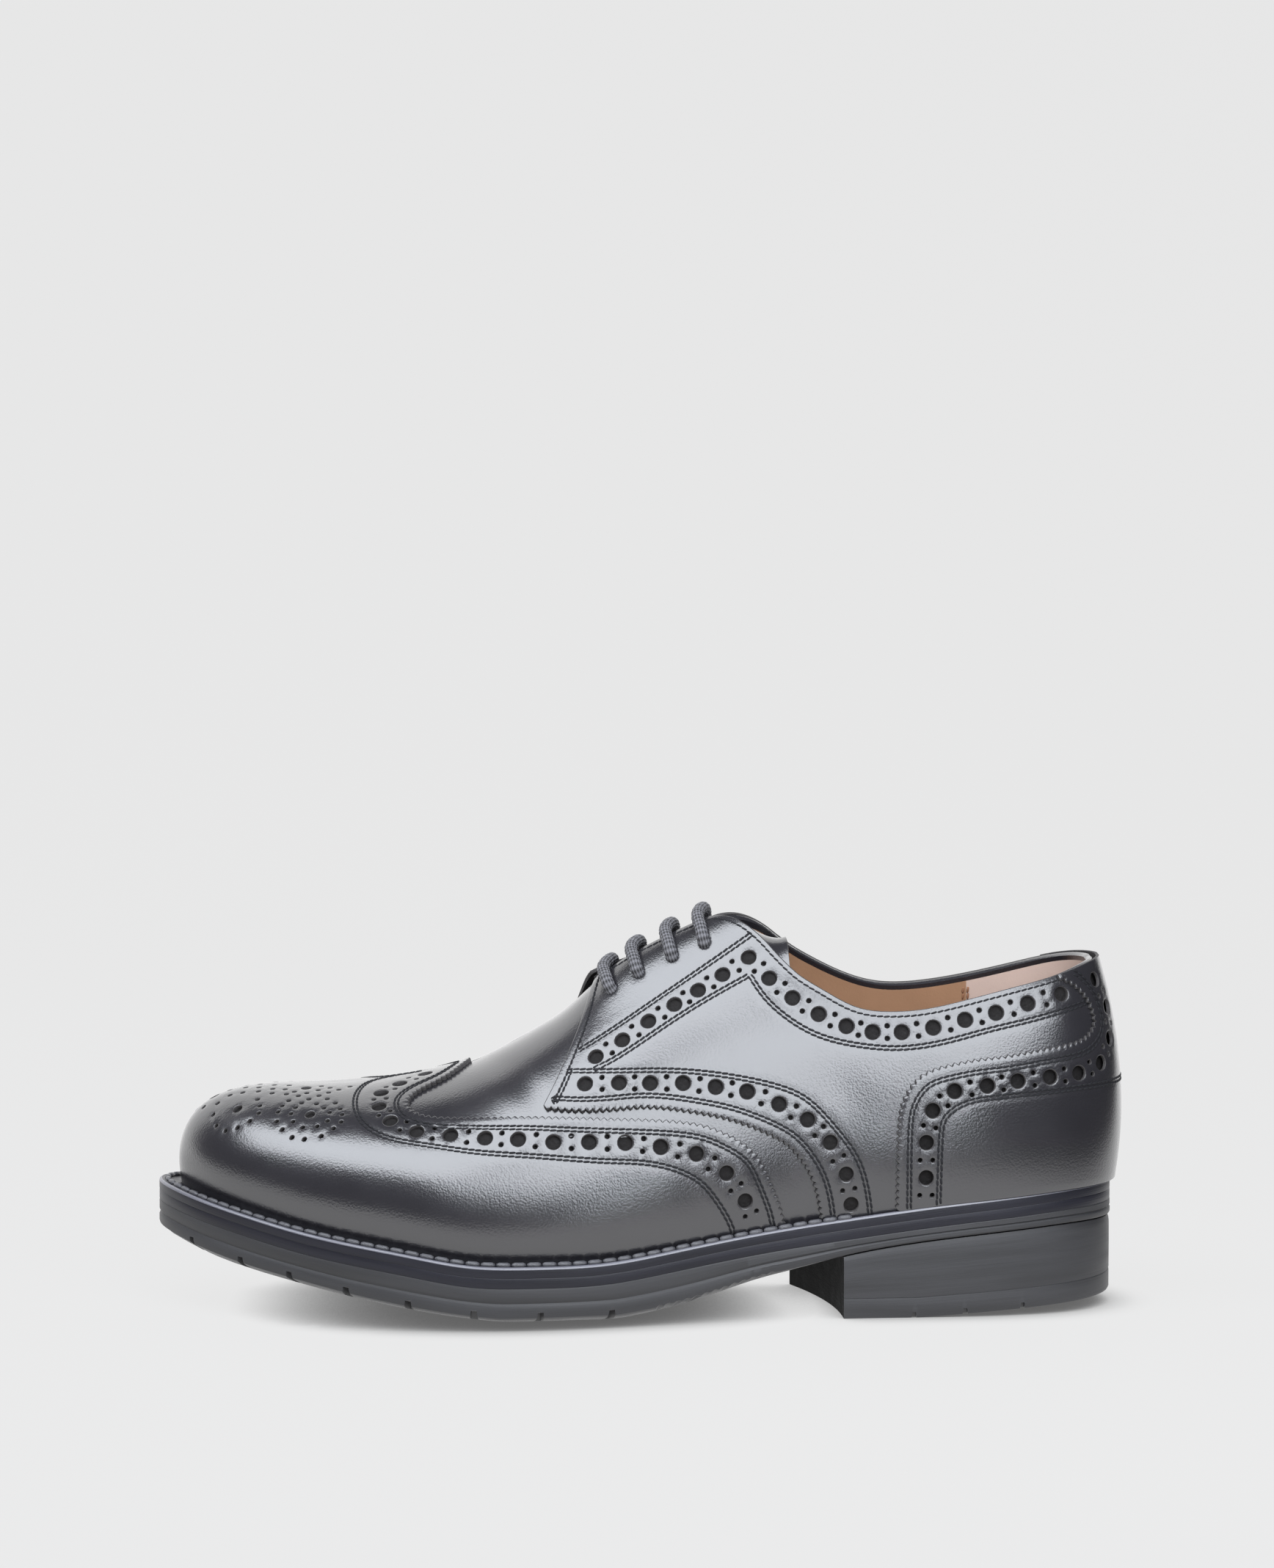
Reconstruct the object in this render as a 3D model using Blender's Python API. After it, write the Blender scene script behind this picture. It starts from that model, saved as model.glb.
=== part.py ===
"""Full brogue derby, a left shoe, modelled on its last.

The frame: toe to -X, heel to +X, outer (lateral) side to -Y, +Z up, floor at Z = 0. Tables and sizes are in
millimetres and every mesh is written in metres. A station is the distance forward of the heel's back edge.
A run is the distance round the feather edge from the heel's back, and a rise the way up the leather from it.
"""
import bmesh
import bpy
import numpy as np
from mathutils import Matrix, Vector
from mathutils.geometry import delaunay_2d_cdt

MM = 0.001

# Driving sizes
HEEL_X = 148.75          # X of the feather edge at the back of the heel
AXIS_Y = 2.55            # Y of the last's centre line
WALL = 2.2               # upper leather with its lining
OVERLAY = 1.2            # wing, quarters and counter
GAP = 0.3                # clearance between pieces that meet
OVERLAY_LIFT = 0.45      # clearance under an overlay
FOOT_RISE = 0.8          # an overlay's lower edge above the feather edge
HALF_THROAT = 6.0        # half the gap between the facings
THROAT_FRONT = 159.0     # station of the front of the throat
THROAT_ROUND = 7.0       # length of its rounded front
WELT_THICK = 3.1
MIDSOLE_THICK = 2.9
INSOLE_THICK = 2.5
INSOLE_INSET = WALL + 0.8
TONGUE_THICK = 1.8
TONGUE_HALF_WIDTH = 21.0
TONGUE_GAP = 1.0         # under the facings
TONGUE_FRONT, TONGUE_TOP = 167.0, 105.0
TONGUE_FREE = 124.0      # station where its free end starts
TONGUE_DROOP = 6.5       # how far the free end leans into the shoe
LACE_RADIUS = 1.8
LACE_REACH = 15.0        # from the ridge to the eyelets
LACE_STEP = 5.0          # spacing of the points along a lace bar
BREAST_LATERAL, BREAST_MEDIAL = 87.0, 99.0
BREAST_HOLLOW = 3.0
HEEL_INSET = 0.2         # how far the heel stands in from the sole's edge
HEEL_FLAT = 64.0         # station where the heel's flat spot ends
HEEL_RISE = 0.066        # slope of its bottom behind the flat spot
TOP_PIECE = 6.2
NOTCH_WIDTH, NOTCH_HEIGHT, NOTCH_LENGTH = 2.6, 3.2, 15.0
HEEL_NOTCH_WIDTH, HEEL_NOTCH_HEIGHT, HEEL_NOTCH_LENGTH = 1.6, 2.2, 4.0
NOTCH_OVERRUN = 2.0      # how far a notch's cutter stands out of the edge
RUN_STEP = 10.0          # spacing of the facets along the sides
END_STEP = 6.2           # spacing of the facets round the heel and the toe
HEEL_END, TOE_END = 44.0, 250.0   # runs where those ends meet the sides
RISE_STEP = 6.8          # spacing of the facets up the leather
EDGE_STEP = 6.5          # spacing of the points along an overlay's edge
COLLAR_STEP = 4.5        # spacing of the points along the opening's edge
PLATE_STEP = 17.0        # spacing of the facets across a sole
BREAST_STEP = 7.0        # spacing of the points across the heel's breast
CROWDED = 0.5            # points closer than this share of their spacing are thinned
FLAT_SHARE = 0.45        # share of the sole's half width that lies flat

# The ridge of the last: station, offset to the inner side, height
RIDGE = [
    (20, 0.0, 152.0), (45, 0.0, 150.0), (70, 0.0, 144.0), (95, 0.0, 134.0), (118, 0.0, 123.0),
    (142, 0.0, 111.5), (158, 0.5, 102.0), (172, 1.0, 92.5), (188, 1.8, 83.0), (204, 2.6, 75.3),
    (220, 3.3, 71.3), (234, 3.8, 69.2), (248, 4.2, 68.1), (262, 4.4, 67.9)]

# Ribs of the last, from the feather edge up to a hub on the ridge.
# station: of the rib's foot; hub: station of its top; lateral, medial: half widths of the feather edge;
# flare at flare_z above it; swell of each side at swell_z; shoulder: reach and height as shares of the rib;
# crown: the reach of the rounding under the ridge as a share of the rib.
RIB_COLUMNS = ("station", "hub", "lateral", "medial", "flare", "flare_z", "swell_lateral", "swell_medial",
               "swell_z", "shoulder", "shoulder_z", "crown")
RIBS = [
    (0.0, 32.0, 0.0, 0.0, 1.0, 8.0, 6.5, 6.5, 34.0, 1.02, 0.60, 0.45),
    (4.0, 32.0, 14.5, 14.5, 1.0, 8.0, 6.5, 6.5, 34.0, 1.02, 0.60, 0.45),
    (12.0, 33.0, 23.0, 23.0, 1.2, 8.0, 6.5, 6.5, 34.0, 1.00, 0.60, 0.45),
    (25.0, 36.5, 28.5, 28.5, 1.5, 8.0, 6.5, 6.5, 34.0, 0.98, 0.60, 0.45),
    (42.0, 46.0, 31.3, 30.8, 1.8, 8.0, 6.5, 7.0, 34.0, 0.96, 0.60, 0.48),
    (65.0, 66.0, 32.2, 29.8, 2.0, 8.5, 6.5, 8.5, 34.0, 0.94, 0.62, 0.50),
    (95.0, 95.0, 33.5, 26.8, 2.5, 9.0, 6.5, 12.0, 34.0, 0.93, 0.65, 0.50),
    (125.0, 125.0, 37.5, 27.2, 3.0, 9.0, 6.0, 12.0, 32.0, 0.92, 0.70, 0.52),
    (155.0, 155.0, 43.5, 33.0, 3.0, 8.5, 5.0, 9.0, 27.0, 0.89, 0.71, 0.50),
    (180.0, 180.0, 47.5, 39.0, 2.8, 7.5, 5.0, 6.5, 22.0, 0.88, 0.74, 0.48),
    (203.0, 202.0, 48.5, 43.0, 2.5, 7.0, 5.0, 5.5, 19.0, 0.90, 0.77, 0.47),
    (226.0, 222.0, 45.5, 43.5, 2.2, 6.5, 5.0, 5.0, 18.0, 0.92, 0.80, 0.50),
    (248.0, 237.0, 38.5, 40.0, 1.9, 6.0, 4.5, 4.5, 17.5, 0.93, 0.84, 0.52),
    (266.0, 245.0, 28.5, 33.5, 1.6, 6.0, 4.0, 4.0, 17.5, 0.93, 0.91, 0.52),
    (280.0, 248.5, 17.5, 25.5, 1.4, 6.0, 3.5, 3.5, 18.0, 0.93, 0.97, 0.52),
    (288.0, 250.0, 7.5, 17.0, 1.2, 6.0, 3.0, 3.0, 18.5, 0.93, 1.01, 0.52),
    (292.4, 250.3, -4.5, 4.5, 1.2, 6.0, 3.0, 3.0, 18.5, 0.93, 1.02, 0.52)]

# Height of the feather edge: station, height
BED = [
    (-2, 39.8), (10, 39.5), (30, 37.9), (53, 35.6), (85, 31.5), (108, 28.4), (126, 25.6), (143, 22.8),
    (160, 20.5), (182, 20.0), (203, 20.7), (220, 23.5), (250, 28.6), (276, 34.2), (302, 40.3)]

# Top edge of the quarters: station, height on the outer side, height on the inner side
TOPLINE = [
    (3, 109.6, 109.6), (9, 108.2, 109.0), (19, 105.0, 106.8), (30, 102.2, 103.8), (48, 97.8, 99.8),
    (61, 95.0, 98.2), (73, 94.2, 98.8), (83, 95.7, 102.0), (93, 100.8, 107.0), (102, 106.5, 112.5),
    (112, 116.0, 120.0), (119, 123.0, 125.5), (126, 132.0, 134.0)]

# How far the sole's edge stands out from the feather edge: station, outer side, inner side
EXTENSION = [
    (0, 0.6, 0.6), (25, 1.6, 1.6), (60, 2.5, 2.0), (95, 3.2, 2.0), (125, 4.0, 2.6), (155, 5.5, 4.2),
    (180, 6.8, 5.6), (203, 7.0, 6.3), (226, 7.0, 6.8), (248, 7.0, 7.0), (270, 7.4, 7.4),
    (292, 8.4, 8.4)]

# Underside of the rubber: station, height at the middle, how much higher its edges are
UNDERSIDE = [
    (-2, 28.0, 0.0), (12, 28.1, 0.0), (30, 26.9, 0.0), (52, 24.8, 0.0), (72, 22.2, 0.0),
    (88, 18.6, 0.6), (100, 14.9, 1.4), (113, 11.5, 2.0), (130, 6.0, 2.6), (148, 1.6, 3.2),
    (162, -0.4, 3.6), (188, -0.4, 3.6), (204, 1.2, 3.6), (221, 3.8, 3.5), (239, 7.2, 3.4),
    (256, 10.9, 3.2), (270, 14.2, 2.7), (285, 18.6, 2.0), (302, 25.6, 0.0)]

# Upper edge of the wing on either side, from the peak: run, rise (None on the ridge)
WING_EDGE = [
    (216, None), (231, 70.0), (242.5, 53.5), (239.5, 46.5), (233.5, 44.7), (220, 45.8), (193, 44.0),
    (175, 42.0), (161.5, 39.4), (148, 35.5), (139, 30.5), (131.5, 24.0), (127.4, 16.0), (124, 6.8),
    (122.5, 0.0)]

# Front and lower edge of a quarter, from the throat: run, rise (None at the facing)
QUARTER_EDGE = [
    (176.5, None), (184, 79.8), (188, 68.7), (193, 56.6), (196.5, 49.5), (188, 48.0), (175, 47.0),
    (166, 46.2), (157, 44.0), (148, 41.0), (139, 37.5), (129.6, 32.7), (121, 27.0), (116.5, 22.0),
    (112.4, 15.0), (110, 7.0), (109, 0.0)]

# Front and upper edge of the heel counter, from the welt: run, rise (None at the topline)
COUNTER_EDGE = [
    (85.5, 0.0), (85.3, 25.5), (83.5, 34.0), (78.8, 39.6), (72, 41.7), (61, 42.6), (52, 42.7),
    (41, 43.4), (31.6, 44.0), (25.5, 45.6), (21, 49.5), (20.5, 53.0), (22.5, 58.7), (28, 64.2),
    (33, None)]

# Stations of the lace bars, of the sole's lug notches and of the heel's notches
LACE_STATIONS = (157.0, 148.5, 138.2, 128.3)
NOTCH_STATIONS = (283.0, 269.0, 254.5, 238.0, 220.0, 201.0, 181.5, 160.0)
HEEL_NOTCH_STATIONS = (65.0, 49.0, 31.0)

# Edge of each layer of the sole, from its top down: share of its thickness, how far it stands out
WELT_EDGE = [(0.0, -0.4), (0.18, 0.0), (1.0, 0.0)]
MIDSOLE_EDGE = [(0.0, -0.5), (1.0, -0.5)]
RUBBER_EDGE = [(0.0, 0.0), (0.40, 0.0), (0.43, -0.9), (0.52, -0.9), (0.55, 0.2), (0.86, 0.2), (1.0, -1.0)]
PLAIN_EDGE = [(0.0, 0.0), (1.0, 0.0)]

COLOURS = {
    "leather": ((0.030, 0.030, 0.034, 1.0), 0.30), "lining": ((0.55, 0.33, 0.20, 1.0), 0.70),
    "edge": ((0.018, 0.018, 0.022, 1.0), 0.40), "rubber": ((0.022, 0.022, 0.026, 1.0), 0.60),
    "lace": ((0.060, 0.060, 0.066, 1.0), 0.80)}


def natural_spline(xs, ys):
    """Natural cubic spline through the points, as a function."""
    xs, ys = np.asarray(xs, float), np.asarray(ys, float)
    n, h = len(xs), np.diff(xs)
    system, load = np.eye(n), np.zeros(n)
    for i in range(1, n - 1):
        system[i, i - 1:i + 2] = h[i - 1], 2 * (h[i - 1] + h[i]), h[i]
        load[i] = 6 * ((ys[i + 1] - ys[i]) / h[i] - (ys[i] - ys[i - 1]) / h[i - 1])
    bend = np.linalg.solve(system, load)

    def value(x):
        x = np.asarray(x, float)
        i = np.clip(np.searchsorted(xs, x) - 1, 0, n - 2)
        a, b, d = xs[i + 1] - x, x - xs[i], h[i]
        curved = (bend[i] * a ** 3 + bend[i + 1] * b ** 3) / (6 * d)
        return curved + (ys[i] / d - bend[i] * d / 6) * a + (ys[i + 1] / d - bend[i + 1] * d / 6) * b
    return value


def closed_spline(ts, rows, period):
    """Periodic cubic spline through rows of columns, as a function."""
    n = len(ts)
    h = np.diff(np.append(ts, ts[0] + period))
    system, load = np.zeros((n, n)), np.zeros(rows.shape)
    for i in range(n):
        before, after = (i - 1) % n, (i + 1) % n
        system[i, before] += h[before]
        system[i, i] += 2 * (h[before] + h[i])
        system[i, after] += h[i]
        load[i] = 6 * ((rows[after] - rows[i]) / h[i] - (rows[i] - rows[before]) / h[before])
    bend = np.linalg.solve(system, load)

    def value(t):
        t = np.mod(np.asarray(t, float), period)
        i = np.clip(np.searchsorted(ts, t, side="right") - 1, 0, n - 1)
        after = (i + 1) % n
        d, b = h[i][..., None], (t - ts[i])[..., None]
        a = d - b
        curved = (bend[i] * a ** 3 + bend[after] * b ** 3) / (6 * d)
        return curved + (rows[i] / d - bend[i] * d / 6) * a + (rows[after] / d - bend[after] * d / 6) * b
    return value


def column_spline(table, column):
    return natural_spline([row[0] for row in table], [row[column] for row in table])


def rib_loop():
    """The rib columns as one closed loop: outer side from heel to toe, then inner side back."""
    rib = dict(zip(RIB_COLUMNS, np.array(RIBS).T))
    shared = [rib[name] for name in ("hub", "flare", "flare_z", "swell_z", "shoulder", "shoulder_z", "crown")]
    outer = np.column_stack([rib["station"], -rib["lateral"], rib["swell_lateral"]] + shared)
    inner = np.column_stack([rib["station"], rib["medial"], rib["swell_medial"]] + shared)
    steps = 0.5 * sum(np.hypot(*np.diff(side[:, :2], axis=0).T) for side in (outer, inner))
    runs = np.concatenate([[0.0], np.cumsum(steps)])
    half = runs[-1]
    loop_runs = np.concatenate([runs, 2 * half - runs[-2:0:-1]])
    return closed_spline(loop_runs, np.vstack([outer, inner[-2:0:-1]]), 2 * half), half


ridge_y, ridge_z = column_spline(RIDGE, 1), column_spline(RIDGE, 2)
bed_z = column_spline(BED, 1)
topline_outer, topline_inner = column_spline(TOPLINE, 1), column_spline(TOPLINE, 2)
extension_outer, extension_inner = column_spline(EXTENSION, 1), column_spline(EXTENSION, 2)
underside_z, underside_lift = column_spline(UNDERSIDE, 1), column_spline(UNDERSIDE, 2)
rib_at, HALF_RUN = rib_loop()
LEVELS = np.linspace(0.0, 1.0, 61)


def last_point(run, level):
    """Point of the last at a run round the feather edge and a level, 0 there and 1 on the ridge."""
    run, level = np.broadcast_arrays(np.asarray(run, float), np.asarray(level, float))
    columns = np.moveaxis(rib_at(run), -1, 0)
    station, y, swell, hub, flare, flare_z, swell_z, shoulder, shoulder_z, crown = columns
    hub_y, foot, top = ridge_y(hub), bed_z(station), ridge_z(hub)
    reach = np.hypot(station - hub, y - hub_y)
    along, across = (station - hub) / reach, (y - hub_y) / reach
    out = (reach, reach + flare, reach + swell, reach * shoulder, reach * crown, 0 * reach)
    up = (foot, foot + flare_z, foot + swell_z, foot + shoulder_z * (top - foot), top, top)
    v, u = level, 1 - level
    weights = (u ** 5, 5 * v * u ** 4, 10 * v ** 2 * u ** 3, 10 * v ** 3 * u ** 2, 5 * v ** 4 * u, v ** 5)
    r = sum(w * p for w, p in zip(weights, out))
    z = sum(w * p for w, p in zip(weights, up))
    return np.stack([HEEL_X - hub - along * r, AXIS_Y + hub_y + across * r, z], -1)


def last_normal(run, level):
    """Unit normal of the last, pointing out."""
    level = np.clip(level, 0.002, 0.985)
    along = last_point(np.asarray(run) + 0.05, level) - last_point(np.asarray(run) - 0.05, level)
    up = last_point(run, level + 0.002) - last_point(run, level - 0.002)
    normal = np.cross(up, along)
    return normal / np.linalg.norm(normal, axis=-1, keepdims=True)


def leather(run, level, offset):
    """Point at an offset out from the last."""
    return last_point(run, level) + last_normal(run, level) * np.asarray(offset, float)[..., None]


def rises(run):
    """Way up each rib at the sampled levels."""
    points = last_point(np.asarray(run, float)[:, None], LEVELS)
    steps = np.linalg.norm(np.diff(points, axis=1), axis=-1)
    return np.concatenate([np.zeros((len(points), 1)), np.cumsum(steps, axis=1)], axis=1)


def level_at(run, rise):
    """Level of a rise above the feather edge, for arrays of both."""
    return np.array([np.interp(r, way, LEVELS) for r, way in zip(rise, rises(run))])


def level_below_ridge(run, drop):
    """Level of a way down from the ridge, for arrays of both."""
    return np.array([np.interp(way[-1] - d, way, LEVELS) for d, way in zip(drop, rises(run))])


def ways_up(run, level):
    """Rise of each level, and the whole length of its rib."""
    ways = rises(run)
    return np.array([np.interp(v, LEVELS, way) for v, way in zip(level, ways)]), ways[:, -1]


def dome(run, level):
    """Flat map of the forepart: each rib laid out straight from its hub."""
    hub = rib_at(run)[..., 3]
    top = np.stack([HEEL_X - hub, AXIS_Y + ridge_y(hub)], -1)
    foot = last_point(run, 0 * run)[..., :2]
    ray = (foot - top) / np.linalg.norm(foot - top, axis=-1, keepdims=True)
    rise, length = ways_up(run, level)
    return top + ray * (length - rise)[:, None]


def girdle(run, level):
    """Flat map of the sides and the heel, seen from outside: run to the left, rise up."""
    return np.column_stack([-run, ways_up(run, level)[0]])


def topline_level(run):
    """Level where each rib meets the top edge of the quarters, 1 where it doesn't."""
    points = last_point(run[:, None], LEVELS)
    station = HEEL_X - points[..., 0]
    edge = np.where((run < HALF_RUN)[:, None], topline_outer(station), topline_inner(station))
    over = np.where(station < TOPLINE[-1][0], points[..., 2] - edge, -1.0)
    levels = np.ones(len(run))
    for i, row in enumerate(over):
        above = np.nonzero(row > 0)[0]
        if len(above) and above[0] > 0:
            j = above[0]
            levels[i] = np.interp(0.0, row[j - 1:j + 1], LEVELS[j - 1:j + 1])
    return levels


def throat_level(run):
    """Level of the facing's edge on each rib, 1 in front of the throat."""
    hub = rib_at(run)[:, 3]
    nose = np.clip((hub - THROAT_FRONT + THROAT_ROUND) / THROAT_ROUND, 0.0, 1.0)
    half = HALF_THROAT * np.sqrt(1.0 - nose ** 2)
    return np.where(hub < THROAT_FRONT, level_below_ridge(run, half), 1.0)


def open_level(run):
    """Level where the leather ends at the collar and the throat."""
    run = np.mod(run, 2 * HALF_RUN)
    return np.minimum(topline_level(run), throat_level(run))


def run_at(station, inner=False):
    """Run of a station on the outer or inner feather edge."""
    runs = np.linspace(0.0, HALF_RUN, 1200)
    if inner:
        runs = 2 * HALF_RUN - runs
    return float(np.interp(station, rib_at(runs)[:, 0], runs))


def run_of_hub(hub):
    runs = np.linspace(0.0, HALF_RUN, 1200)
    return float(np.interp(hub, rib_at(runs)[:, 3], runs))


def dense(points, step):
    """A polyline with points no further apart than a step."""
    points = np.asarray(points, float)
    result = [points[0]]
    for a, b in zip(points[:-1], points[1:]):
        count = max(1, int(np.ceil(np.linalg.norm(b - a) / step)))
        result.extend(a + (b - a) * i / count for i in range(1, count + 1))
    return np.array(result)


def edge_levels(table, end_level, aside=0.0):
    """An edge table as close rows of run and level, moved aside to its right by a width.

    end_level gives the level of a row with no rise.
    """
    rows = []
    for run, rise in table:
        here = np.array([run], float)
        rows.append((run, ways_up(here, end_level(here))[0][0] if rise is None else rise))
    rows = dense(rows, EDGE_STEP)
    way = np.gradient(rows, axis=0)
    way /= np.linalg.norm(way, axis=1, keepdims=True)
    rows += aside * np.column_stack([way[:, 1], -way[:, 0]])
    return np.column_stack([rows[:, 0], level_at(rows[:, 0], rows[:, 1])])


def on_inner_side(edge):
    """The same edge on the inner side of the shoe."""
    return np.column_stack([2 * HALF_RUN - edge[:, 0], edge[:, 1]])


def spaced(first, last, step):
    """Evenly spaced runs from the first up to the last."""
    return np.linspace(first, last, 1 + int(round(abs(last - first) / step)))


def facet_runs():
    """Runs of the facets all round the feather edge, closer at the heel and the toe."""
    heel = spaced(0.0, HEEL_END, END_STEP)
    side = spaced(HEEL_END, TOE_END, RUN_STEP)
    toe = spaced(TOE_END, HALF_RUN, END_STEP)
    outer = np.concatenate([heel[:-1], side[:-1], toe])
    return np.concatenate([outer, 2 * HALF_RUN - outer[-2:0:-1]])


def lattice():
    """Facet points all over the last, thinned where the ribs crowd at the toe."""
    runs = facet_runs()
    points, kept = [], []
    for run in runs:
        length = rises(np.array([run]))[0, -1]
        rows = max(4, int(round(length / RISE_STEP)))
        points.extend((run, row / rows) for row in range(rows + 1))
    points = np.array(points)
    places = last_point(points[:, 0], points[:, 1])
    for i, place in enumerate(places):
        if not kept or np.min(np.linalg.norm(places[kept] - place, axis=1)) > CROWDED * RISE_STEP:
            kept.append(i)
    return points[kept]


def inside(point, loop):
    """Whether a flat point lies inside a closed loop."""
    x, y = point
    a, b = loop, np.roll(loop, -1, axis=0)
    crosses = (a[:, 1] > y) != (b[:, 1] > y)
    with np.errstate(divide="ignore", invalid="ignore"):
        reach = a[:, 0] + (y - a[:, 1]) * (b[:, 0] - a[:, 0]) / (b[:, 1] - a[:, 1])
    return bool(np.count_nonzero(crosses & (x < reach)) % 2)


def clear_of(point, loop, margin):
    """Whether a flat point is further than a margin from a closed loop."""
    a, b = loop, np.roll(loop, -1, axis=0)
    d = b - a
    along = np.clip(((point - a) * d).sum(1) / np.maximum((d * d).sum(1), 1e-9), 0.0, 1.0)
    return np.min(np.linalg.norm(a + along[:, None] * d - point, axis=1)) > margin


def triangles_over(loop, extra):
    """Triangles over a closed flat loop with extra points inside it, as rows of point indices."""
    points = np.vstack([loop, extra])
    edges = [(i, (i + 1) % len(loop)) for i in range(len(loop))]
    verts, _, faces, origins, _, _ = delaunay_2d_cdt([Vector(p) for p in points], edges, [], 1, 1e-7)
    corners = np.array([verts[i] for face in faces for i in face]).reshape(-1, 3, 2)
    kept = [face for face, corner in zip(faces, corners) if inside(corner.mean(0), loop)]
    return [[origins[i][0] for i in face] for face in kept]


def material(name):
    if name in bpy.data.materials:
        return bpy.data.materials[name]
    colour, roughness = COLOURS[name]
    made = bpy.data.materials.new(name)
    made.use_nodes = True
    shader = made.node_tree.nodes["Principled BSDF"]
    shader.inputs["Base Color"].default_value = colour
    shader.inputs["Roughness"].default_value = roughness
    shader.inputs["Metallic"].default_value = 0.0
    return made


def add_object(name, mesh, finish, parent):
    mesh.materials.append(material(finish))
    made = bpy.data.objects.new(name, mesh)
    parts.objects.link(made)
    made.parent = parent
    return made


def mesh_from(name, points, faces, smooth=True):
    """Closed or open mesh from points in millimetres, with its faces turned the same way."""
    mesh = bpy.data.meshes.new(name)
    build = bmesh.new()
    verts = [build.verts.new(Vector(p) * MM) for p in points]
    for face in faces:
        build.faces.new([verts[i] for i in face])
    bmesh.ops.recalc_face_normals(build, faces=build.faces)
    build.to_mesh(mesh)
    build.free()
    if smooth:
        mesh.shade_smooth()
        mesh.set_sharp_from_angle(angle=np.radians(40))
    return mesh


def two_skins(faces, count):
    """Faces of a sheet and of its copy, count points further on, joined along the sheet's edges."""
    sides = {(a, b) for face in faces for a, b in zip(face, face[1:] + face[:1])}
    walls = [[b, a, a + count, b + count] for a, b in sorted(sides) if (b, a) not in sides]
    return faces + [[i + count for i in reversed(face)] for face in faces] + walls


def leather_shell(name, patches, outer, thickness, finish):
    """A leather piece from patches, each a loop of run and level with its flat map, given its thickness."""
    rows, faces, index = [], [], {}
    for loop, flat_map in patches:
        wraps = loop[:, 0].min() < 0.0
        facets = FACETS.copy()
        facets[:, 0] -= np.where(wraps & (facets[:, 0] > HALF_RUN), 2 * HALF_RUN, 0.0)
        flat, grid = flat_map(loop[:, 0], loop[:, 1]), flat_map(facets[:, 0], facets[:, 1])
        keep = [i for i, p in enumerate(grid) if inside(p, flat) and clear_of(p, flat, CROWDED * RISE_STEP)]
        patch = np.vstack([loop, facets[keep]])
        keys = [tuple(key) for key in np.round(last_point(patch[:, 0], patch[:, 1]), 3)]
        for key, row in zip(keys, patch):
            if key not in index:
                index[key] = len(rows)
                rows.append(row)
        faces += [[index[keys[i]] for i in face] for face in triangles_over(flat, grid[keep])]
    rows = np.array(rows)
    skins = [leather(rows[:, 0], rows[:, 1], np.full(len(rows), d)) for d in (outer, outer - thickness)]
    shell = two_skins(faces, len(rows))
    return add_object(name, mesh_from(name, np.vstack(skins), shell), finish, shoe)


def collar_edge():
    """The opening's edge from the throat's front, by the outer side, round the heel to the inner side."""
    front = run_of_hub(THROAT_FRONT)
    runs = spaced(front, -front, COLLAR_STEP)
    return np.column_stack([runs, open_level(runs)])


def add_upper():
    """The whole wall of the shoe: forepart and rear meet on the ribs in front of the throat."""
    split = float(facet_runs()[np.argmin(np.abs(facet_runs() - run_of_hub(THROAT_FRONT) - RUN_STEP))])
    levels = spaced(0.0, 1.0, RISE_STEP / rises(np.array([split]))[0, -1])
    rib = np.column_stack([np.full(len(levels), split), levels])
    around = facet_runs()
    front = around[(around > split) & (around < 2 * HALF_RUN - split)]
    fore = np.vstack([np.column_stack([front, 0 * front]), on_inner_side(rib), rib[-2::-1]])
    sides = np.concatenate([around[around < split], around[around > 2 * HALF_RUN - split] - 2 * HALF_RUN])
    sides = np.sort(sides)
    back = rib * [-1, 1]
    rear = np.vstack([np.column_stack([sides, 0 * sides]), rib, collar_edge(), back[::-1]])
    return leather_shell("upper", [(fore, dome), (rear, girdle)], 0.0, WALL, "leather")


def foot_line(first, last):
    """Lower edge of an overlay, just above the feather edge, between two runs."""
    around = np.concatenate([facet_runs() - 2 * HALF_RUN, facet_runs()])
    low, high = min(first, last), max(first, last)
    margin = CROWDED * END_STEP
    between = np.sort(around[(around > low + margin) & (around < high - margin)])
    runs = np.concatenate([[first], between if first < last else between[::-1], [last]])
    return np.column_stack([runs, level_at(runs, np.full(len(runs), FOOT_RISE))])


def lifted(edge):
    """An edge whose feet end at the overlays' lower edge."""
    foot = level_at(edge[:, 0], np.full(len(edge), FOOT_RISE))
    return np.column_stack([edge[:, 0], np.maximum(edge[:, 1], foot)])


def add_wing_tip():
    side = edge_levels(WING_EDGE, np.ones_like)
    outer = lifted(side)
    inner = on_inner_side(outer)
    edge = np.vstack([outer[::-1], inner[1:]])
    foot = foot_line(2 * HALF_RUN - WING_EDGE[-1][0], WING_EDGE[-1][0])
    loop = np.vstack([edge, foot[1:-1]])
    return leather_shell("wing_tip", [(loop, dome)], OVERLAY_LIFT + OVERLAY, OVERLAY, "leather")


def add_quarter(name, inner):
    front = lifted(edge_levels(QUARTER_EDGE, open_level))
    counter = lifted(edge_levels(COUNTER_EDGE, open_level, aside=2 * GAP))
    top_runs = spaced(counter[-1, 0], QUARTER_EDGE[0][0], COLLAR_STEP)
    top = np.column_stack([top_runs, open_level(2 * HALF_RUN - top_runs if inner else top_runs)])
    foot = foot_line(QUARTER_EDGE[-1][0], counter[0, 0])
    loop = np.vstack([front, foot[1:-1], counter[:-1], top[:-1]])
    if inner:
        loop = on_inner_side(loop)
        loop[0, 1] = open_level(loop[:1, 0])[0]
    return leather_shell(name, [(loop, girdle)], OVERLAY_LIFT + OVERLAY, OVERLAY, "leather")


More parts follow.
